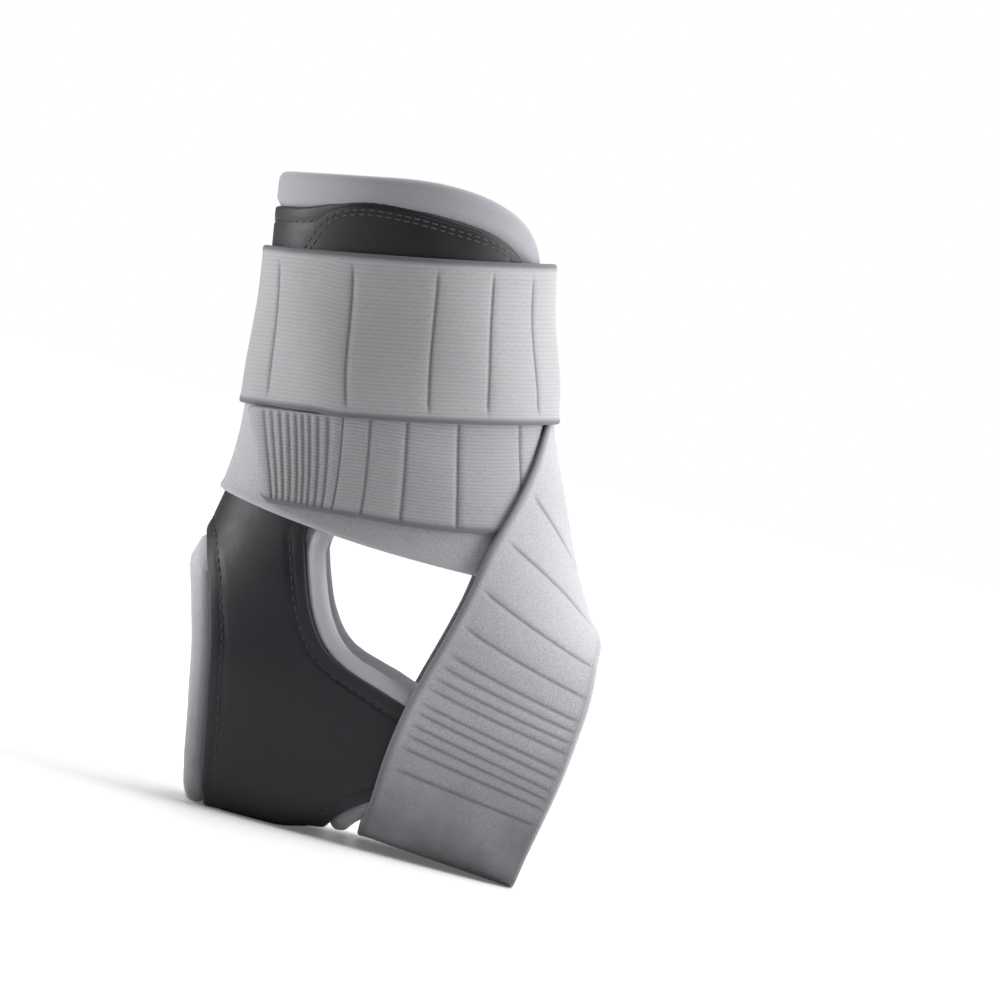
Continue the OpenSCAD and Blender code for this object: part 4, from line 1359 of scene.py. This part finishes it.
def sew(name, paths, slot_name, **settings):
    ends = np.cumsum([len(path) for path in paths])
    edges = [(i, i + 1) for i in range(ends[-1] - 1) if i + 1 not in ends]
    mesh = new_mesh(name + " seams", np.concatenate(paths), edges, [])
    stitches = run_tree(name, mesh, STITCHES, **settings)
    return stitches


shell_seams = body_seams(shell_wrap, shell_edges, SEAM_INSET, SHELL_SEAM_T)
liner_seams = body_seams(liner_wrap, liner_edges, LINER_SEAM_INSET, LINER_SEAM_T)
flex_with_ankle(sew("shell_stitches", shell_seams, "shell", Material=DARK_THREAD, **BODY_STITCH))
flex_with_ankle(sew("liner_stitches", liner_seams, "liner", Material=LINER_THREAD, **BODY_STITCH))

# %% Seams on the pocket covers
POCKET_SEAMS, POCKET_SEAM_T, POCKET_SEAM_A = (1.4, 2.8), POCKET_IN + 0.7, POCKET_FRONT_A + 3
POCKET_SEAM_SAMPLES = 160
POCKET_STITCH = {"Pitch": 0.0028, "Stitch_length": 0.0021, "Thread": 0.00022}
# How far the seam is drawn in at the back end, per mm of its inset, and the angles where that starts
POCKET_DRAW, DRAW_A, DRAW_LENGTH_A = 1.5, 118, 20


def pocket_seam(side, inset):
    """A line inside the arch: drawn in from the back end as well as from the upper edge."""
    a = np.linspace(POCKET_SEAM_A, POCKET_BACK_A, POCKET_SEAM_SAMPLES)
    z = pocket_arch(a) - inset
    a = a - POCKET_DRAW * inset * ease((a - DRAW_A) / DRAW_LENGTH_A)
    return on_last(side * a, np.maximum(z, leaning(UPPER_TOP, a) - 1), POCKET_SEAM_T)


pocket_seams = [pocket_seam(side, inset) for side in (1, -1) for inset in POCKET_SEAMS]
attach(sew("pocket_stitches", pocket_seams, "shell", Material=POCKET_THREAD, **POCKET_STITCH), "cuff")

# %% [markdown]
# ## Hooks and loops
# The tabs hold by hook and loop: a patch of tiny nylon hooks under the tab, and a patch of soft loops
# facing it. Both are sewn patches with many small copies on them, so the patch is a thin band, and
# Geometry Nodes scatter the hooks and loops over it with a fixed seed. Hooks all face one way, loops
# are turned at random. Hair would be lighter, but it isn't part of a mesh that can be exported.

# %% The pile tree
MOST_PER_M2 = 4e6
# Sockets of a Random Value node for numbers
MOST, DRAWN = 3, 1


def bent_wire(name, points, radius):
    """A short wire of four sides along points in millimetres, as an object to be copied."""
    points, across = np.array(points), np.array([0, 1, 0])
    ahead = np.gradient(points, axis=0)
    up = np.cross(ahead / np.linalg.norm(ahead, axis=1, keepdims=True), across)
    quarters = [k * TURN / 4 for k in range(4)]
    rings = [[p + radius * (math.cos(q) * across + math.sin(q) * v) for q in quarters]
             for p, v in zip(points, up)]
    end = 4 * len(points)
    faces = [(i + k, i + (k + 1) % 4, i + 4 + (k + 1) % 4, i + 4 + k)
             for i in range(0, end - 4, 4) for k in range(4)]
    faces += [(3, 2, 1, 0), (end - 4, end - 3, end - 2, end - 1)]
    mesh = new_mesh(name, rings, [], faces)
    with editing(mesh) as bm:
        bmesh.ops.recalc_face_normals(bm, faces=bm.faces)
    return bpy.data.objects.new(name, mesh)


def make_pile_tree():
    tree, given, out = new_tree(
        "pile on a patch", "Geometry",
        [("Geometry", "Geometry"), ("Copy", "Object"), ("Spacing", "Float", 0.001),
         ("Turn", "Float", 0), ("Seed", "Int", 5), ("Material", "Material")],
        [("Geometry", "Geometry")])
    spots = add(tree, "GeometryNodeDistributePointsOnFaces", {
        "Mesh": given["Geometry"], "Distance Min": given["Spacing"], "Density Max": MOST_PER_M2,
        "Seed": given["Seed"]}, distribute_method="POISSON").outputs
    inputs = {"Seed": given["Seed"], MOST: given["Turn"]}
    spin = add(tree, "FunctionNodeRandomValue", inputs, data_type="FLOAT")
    turn = add(tree, "ShaderNodeCombineXYZ", {2: spin.outputs[DRAWN]})
    turn = add(tree, "FunctionNodeEulerToRotation", {0: turn.outputs[0]})
    inputs = {0: spots["Rotation"], 1: turn.outputs[0]}
    rotation = add(tree, "FunctionNodeRotateRotation", inputs, rotation_space="LOCAL")
    copy = add(tree, "GeometryNodeObjectInfo", {"Object": given["Copy"]})
    pile = add(tree, "GeometryNodeInstanceOnPoints", {
        "Points": spots["Points"], "Instance": copy.outputs["Geometry"],
        "Rotation": rotation.outputs[0]})
    finish_tree(tree, given, pile, out)
    return tree


PILE = make_pile_tree()
HOOK_WIRE = bent_wire("hook wire", [
    (0, 0, -0.05), (0, 0, 0.25), (0.06, 0, 0.36), (0.17, 0, 0.38), (0.24, 0, 0.28)], 0.06)
LOOP_WIRE = bent_wire("loop wire", [
    (-0.22, 0, -0.05), (-0.26, 0, 0.14), (0, 0, 0.3), (0.26, 0, 0.14), (0.22, 0, -0.05)], 0.04)
print("copies:", HOOK_WIRE.name, "and", LOOP_WIRE.name)

# %% Patches and their pile
# Thickness, material, slot, whether the pile faces outward, and the pile's settings
HOOKS = HOOK_T, HOOK_PLASTIC, "hook", False, {"Copy": HOOK_WIRE, "Spacing": 0.0009, "Turn": 0.0}
LOOPS = LOOP_T, LOOP_PILE, "loop", True, {"Copy": LOOP_WIRE, "Spacing": 0.0008, "Turn": TURN}
MARGIN_A, FAR_PATCH_UP, PATCH_STEP = 5, 3, 3
FACE_INSET, FACE_ROWS, FACE_COLS = 0.02, 22, 18
# A place inside the cuff, from which a patch's outer side faces away
PATCH_AXIS = Vector(on_last(0, 120, -30)[:2] * MM)


def pile_face(name, point, t, outward):
    """The face of a patch that carries the pile, with its normals on the pile's side."""
    rows, cols = (np.linspace(FACE_INSET, 1 - FACE_INSET, n) for n in (FACE_ROWS, FACE_COLS))
    w, u = np.meshgrid(rows, cols, indexing="ij")
    mesh = new_mesh(name, point(w, u, t), [], grid_faces(FACE_ROWS, FACE_COLS))
    with editing(mesh) as bm:
        bm.normal_update()
        bm.faces.ensure_lookup_table()
        middle = bm.faces[len(bm.faces) // 2]
        away = middle.normal.xy.dot(middle.calc_center_median().xy - PATCH_AXIS) > 0
        if away != outward:
            bmesh.ops.reverse_faces(bm, faces=bm.faces)
    return mesh


def make_patch(name, kind, point, t, body, node):
    """A thin patch at distance t, with its pile joined on."""
    thick, material, slot_name, outward, settings = kind
    patch, _, _ = band(name, material, point, lambda w, u: t + 0 * w + 0 * u, (0, 1),
                       thick=thick, step=PATCH_STEP)
    face = pile_face(name + " face", point, t + thick if outward else t, outward)
    pile = run_tree(name + "_pile", face, PILE, Material=material, **settings)
    with editing(patch.data) as bm:
        bm.from_mesh(pile.data)
    bpy.data.objects.remove(pile)
    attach(patch, body)
    stand_in(patch, slot_name, node)


def near_patch(margin, w, u, t):
    a = mix(NEAR_HINGE_A + margin, mix(TAB_LOW_A, TAB_HIGH_A, u) - margin, w)
    return on_last(a, mix(lower_edge(a) + margin, below_upper(a) - margin, u), t)


def far_patch(margin, w, u, t):
    a = mix(FAR_HINGE_A + margin, FAR_TAB_END_A - margin, w)
    return on_last(-a, mix(wrap_low(a) + margin + FAR_PATCH_UP, below_upper(a) - margin, u), t)


def upper_patch(margin, w, u, t):
    a, u = -mix(UPPER_HINGE_A + margin, UPPER_TAB_END_A - margin, w), upper_tab_share(u, margin)
    return upper_strap_point(a, u, upper_strap_in(a, u) + t)


# For each tab: its place and the loops' distance, its hooks with body and node, its loops with node
TABS = (
    (near_patch, LOOP_IN, ("lower_tab_hooks", "lower_tab", "lower_tab_hook_patch"),
     ("near_loop_face", "near_tab_loop_patch")),
    (far_patch, LOOP_IN, ("instep_tab_hooks", "near_tab", "near_tab_hook_patch"),
     ("far_loop_face", "far_tab_loop_patch")),
    (upper_patch, STRAP_T + GAP, ("upper_tab_hooks", "upper_tab", "upper_tab_hook_patch"),
     ("upper_loop_face", "upper_tab_loop_patch")))
for place, loop_t, (hooks, body, hook_node), (loops, loop_node) in TABS:
    make_patch(hooks, HOOKS, partial(place, MARGIN_A), loop_t + LOOP_T + GAP, body, hook_node)
    make_patch(loops, LOOPS, partial(place, MARGIN_A - 1), loop_t, "cuff", loop_node)

# %% [markdown]
# ## Stays and heel plates
# These are plain strips of plastic inside the pockets. They could be modelled again with rounded
# edges, but nothing of them shows. The solids stay as they are and only get a material.

# %% Stays
for node in ("near_stay", "far_stay", "near_heel_plate", "far_heel_plate"):
    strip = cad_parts[node]
    strip.data.materials.clear()
    strip.data.materials.append(STAY_PLASTIC)
    print("stay material on", strip.name)

# %% [markdown]
# ## Studio
# The photograph is a product shot on white: soft light from all round, with a large light above, a
# strip at each side and a fill behind. One strong lamp would be simpler, but it would draw hard
# shadows under the straps. The camera looks at the near side. It is rolled, because in the photograph
# the sole slopes down to the right.

# %% Floor and light
FLOOR_R, GLOW_START, GLOW_END, GLOW_LEAST, GLOW_MOST = 6.0, 0.3, 1.1, 0.12, 0.95
SEEN_WHITE, LIT_WHITE = 1.0, 0.11
MIDDLE = Vector((0.01, 0, 0.11))
# Name, place, size and watts
LIGHTS = (("softbox above", (0.4, 0.2, 1.2), 1.4, 15), ("right strip", (0.95, -0.12, 0.4), 0.6, 10.5),
          ("left strip", (-0.9, 0.0, 0.2), 0.5, 7), ("back fill", (0.1, 1.2, 0.7), 1.0, 6))


def camera_sees(tree):
    """1 for what the camera sees directly, 0 for light on its way elsewhere."""
    return add(tree, "ShaderNodeLightPath").outputs["Is Camera Ray"]


def make_floor():
    """A wide round floor: lit by the lamps near the brace, and glowing farther out."""
    mesh = bpy.data.meshes.new("floor")
    with editing(mesh) as bm:
        bmesh.ops.create_circle(bm, cap_ends=True, radius=FLOOR_R, segments=96)
    material, tree, shader = new_material(
        "pale floor", Base_Color=(0.86, 0.86, 0.865, 1), Roughness=0.7, Emission_Strength=1.0)
    place = add(tree, "ShaderNodeTexCoord").outputs["Object"]
    away = add(tree, "ShaderNodeVectorMath", {0: place}, operation="LENGTH").outputs["Value"]
    glow = remap(tree, away, GLOW_START, GLOW_END, GLOW_LEAST, GLOW_MOST)
    tree.links.new(maths(tree, "MULTIPLY", glow, camera_sees(tree)), shader.inputs["Emission Color"])
    mesh.materials.append(material)
    put_in_scene("floor", mesh)


def make_world():
    """A white surround: seen by the camera at one strength, and lighting the brace at a lower one."""
    world = bpy.data.worlds.new("studio")
    world.use_nodes = True
    tree = world.node_tree
    background = tree.nodes["Background"].inputs
    background[0].default_value = (1, 1, 1, 1)
    tree.links.new(remap(tree, camera_sees(tree), 0, 1, LIT_WHITE, SEEN_WHITE), background[1])
    return world


make_floor()
for name, place, size, watts in LIGHTS:
    lamp = bpy.data.lights.new(name, "AREA")
    lamp.size, lamp.energy = size, watts
    light = put_in_scene(name, lamp)
    light.location = place
    light.rotation_euler = (MIDDLE - Vector(place)).to_track_quat("-Z", "Y").to_euler()
bpy.context.scene.world = make_world()
bpy.context.scene.view_settings.view_transform = "Standard"
print("lights:", ", ".join(row[0] for row in LIGHTS))

# %% Camera
VIEW_ROLL, VIEW_ACROSS, VIEW_AWAY, VIEW_RISE = 14.5, 0.310, 2.6, 1.5
VIEW_CENTRE, SENSOR_W = Vector((0.0357, 0, 0.1138)), 36

lens = bpy.data.cameras.new("camera")
lens.sensor_width = SENSOR_W
lens.lens = SENSOR_W * VIEW_AWAY / VIEW_ACROSS
camera = put_in_scene("camera", lens)
level_view = Matrix.Rotation(math.pi / 2 - math.radians(VIEW_RISE), 4, "X")
rolled = Matrix.Rotation(-math.radians(VIEW_ROLL), 4, "Y") @ level_view
camera.matrix_world = Matrix.Translation(VIEW_CENTRE) @ rolled @ Matrix.Translation((0, 0, VIEW_AWAY))
bpy.context.scene.camera = camera
print(f"camera: {lens.lens:.0f} mm lens, {VIEW_AWAY} m away")
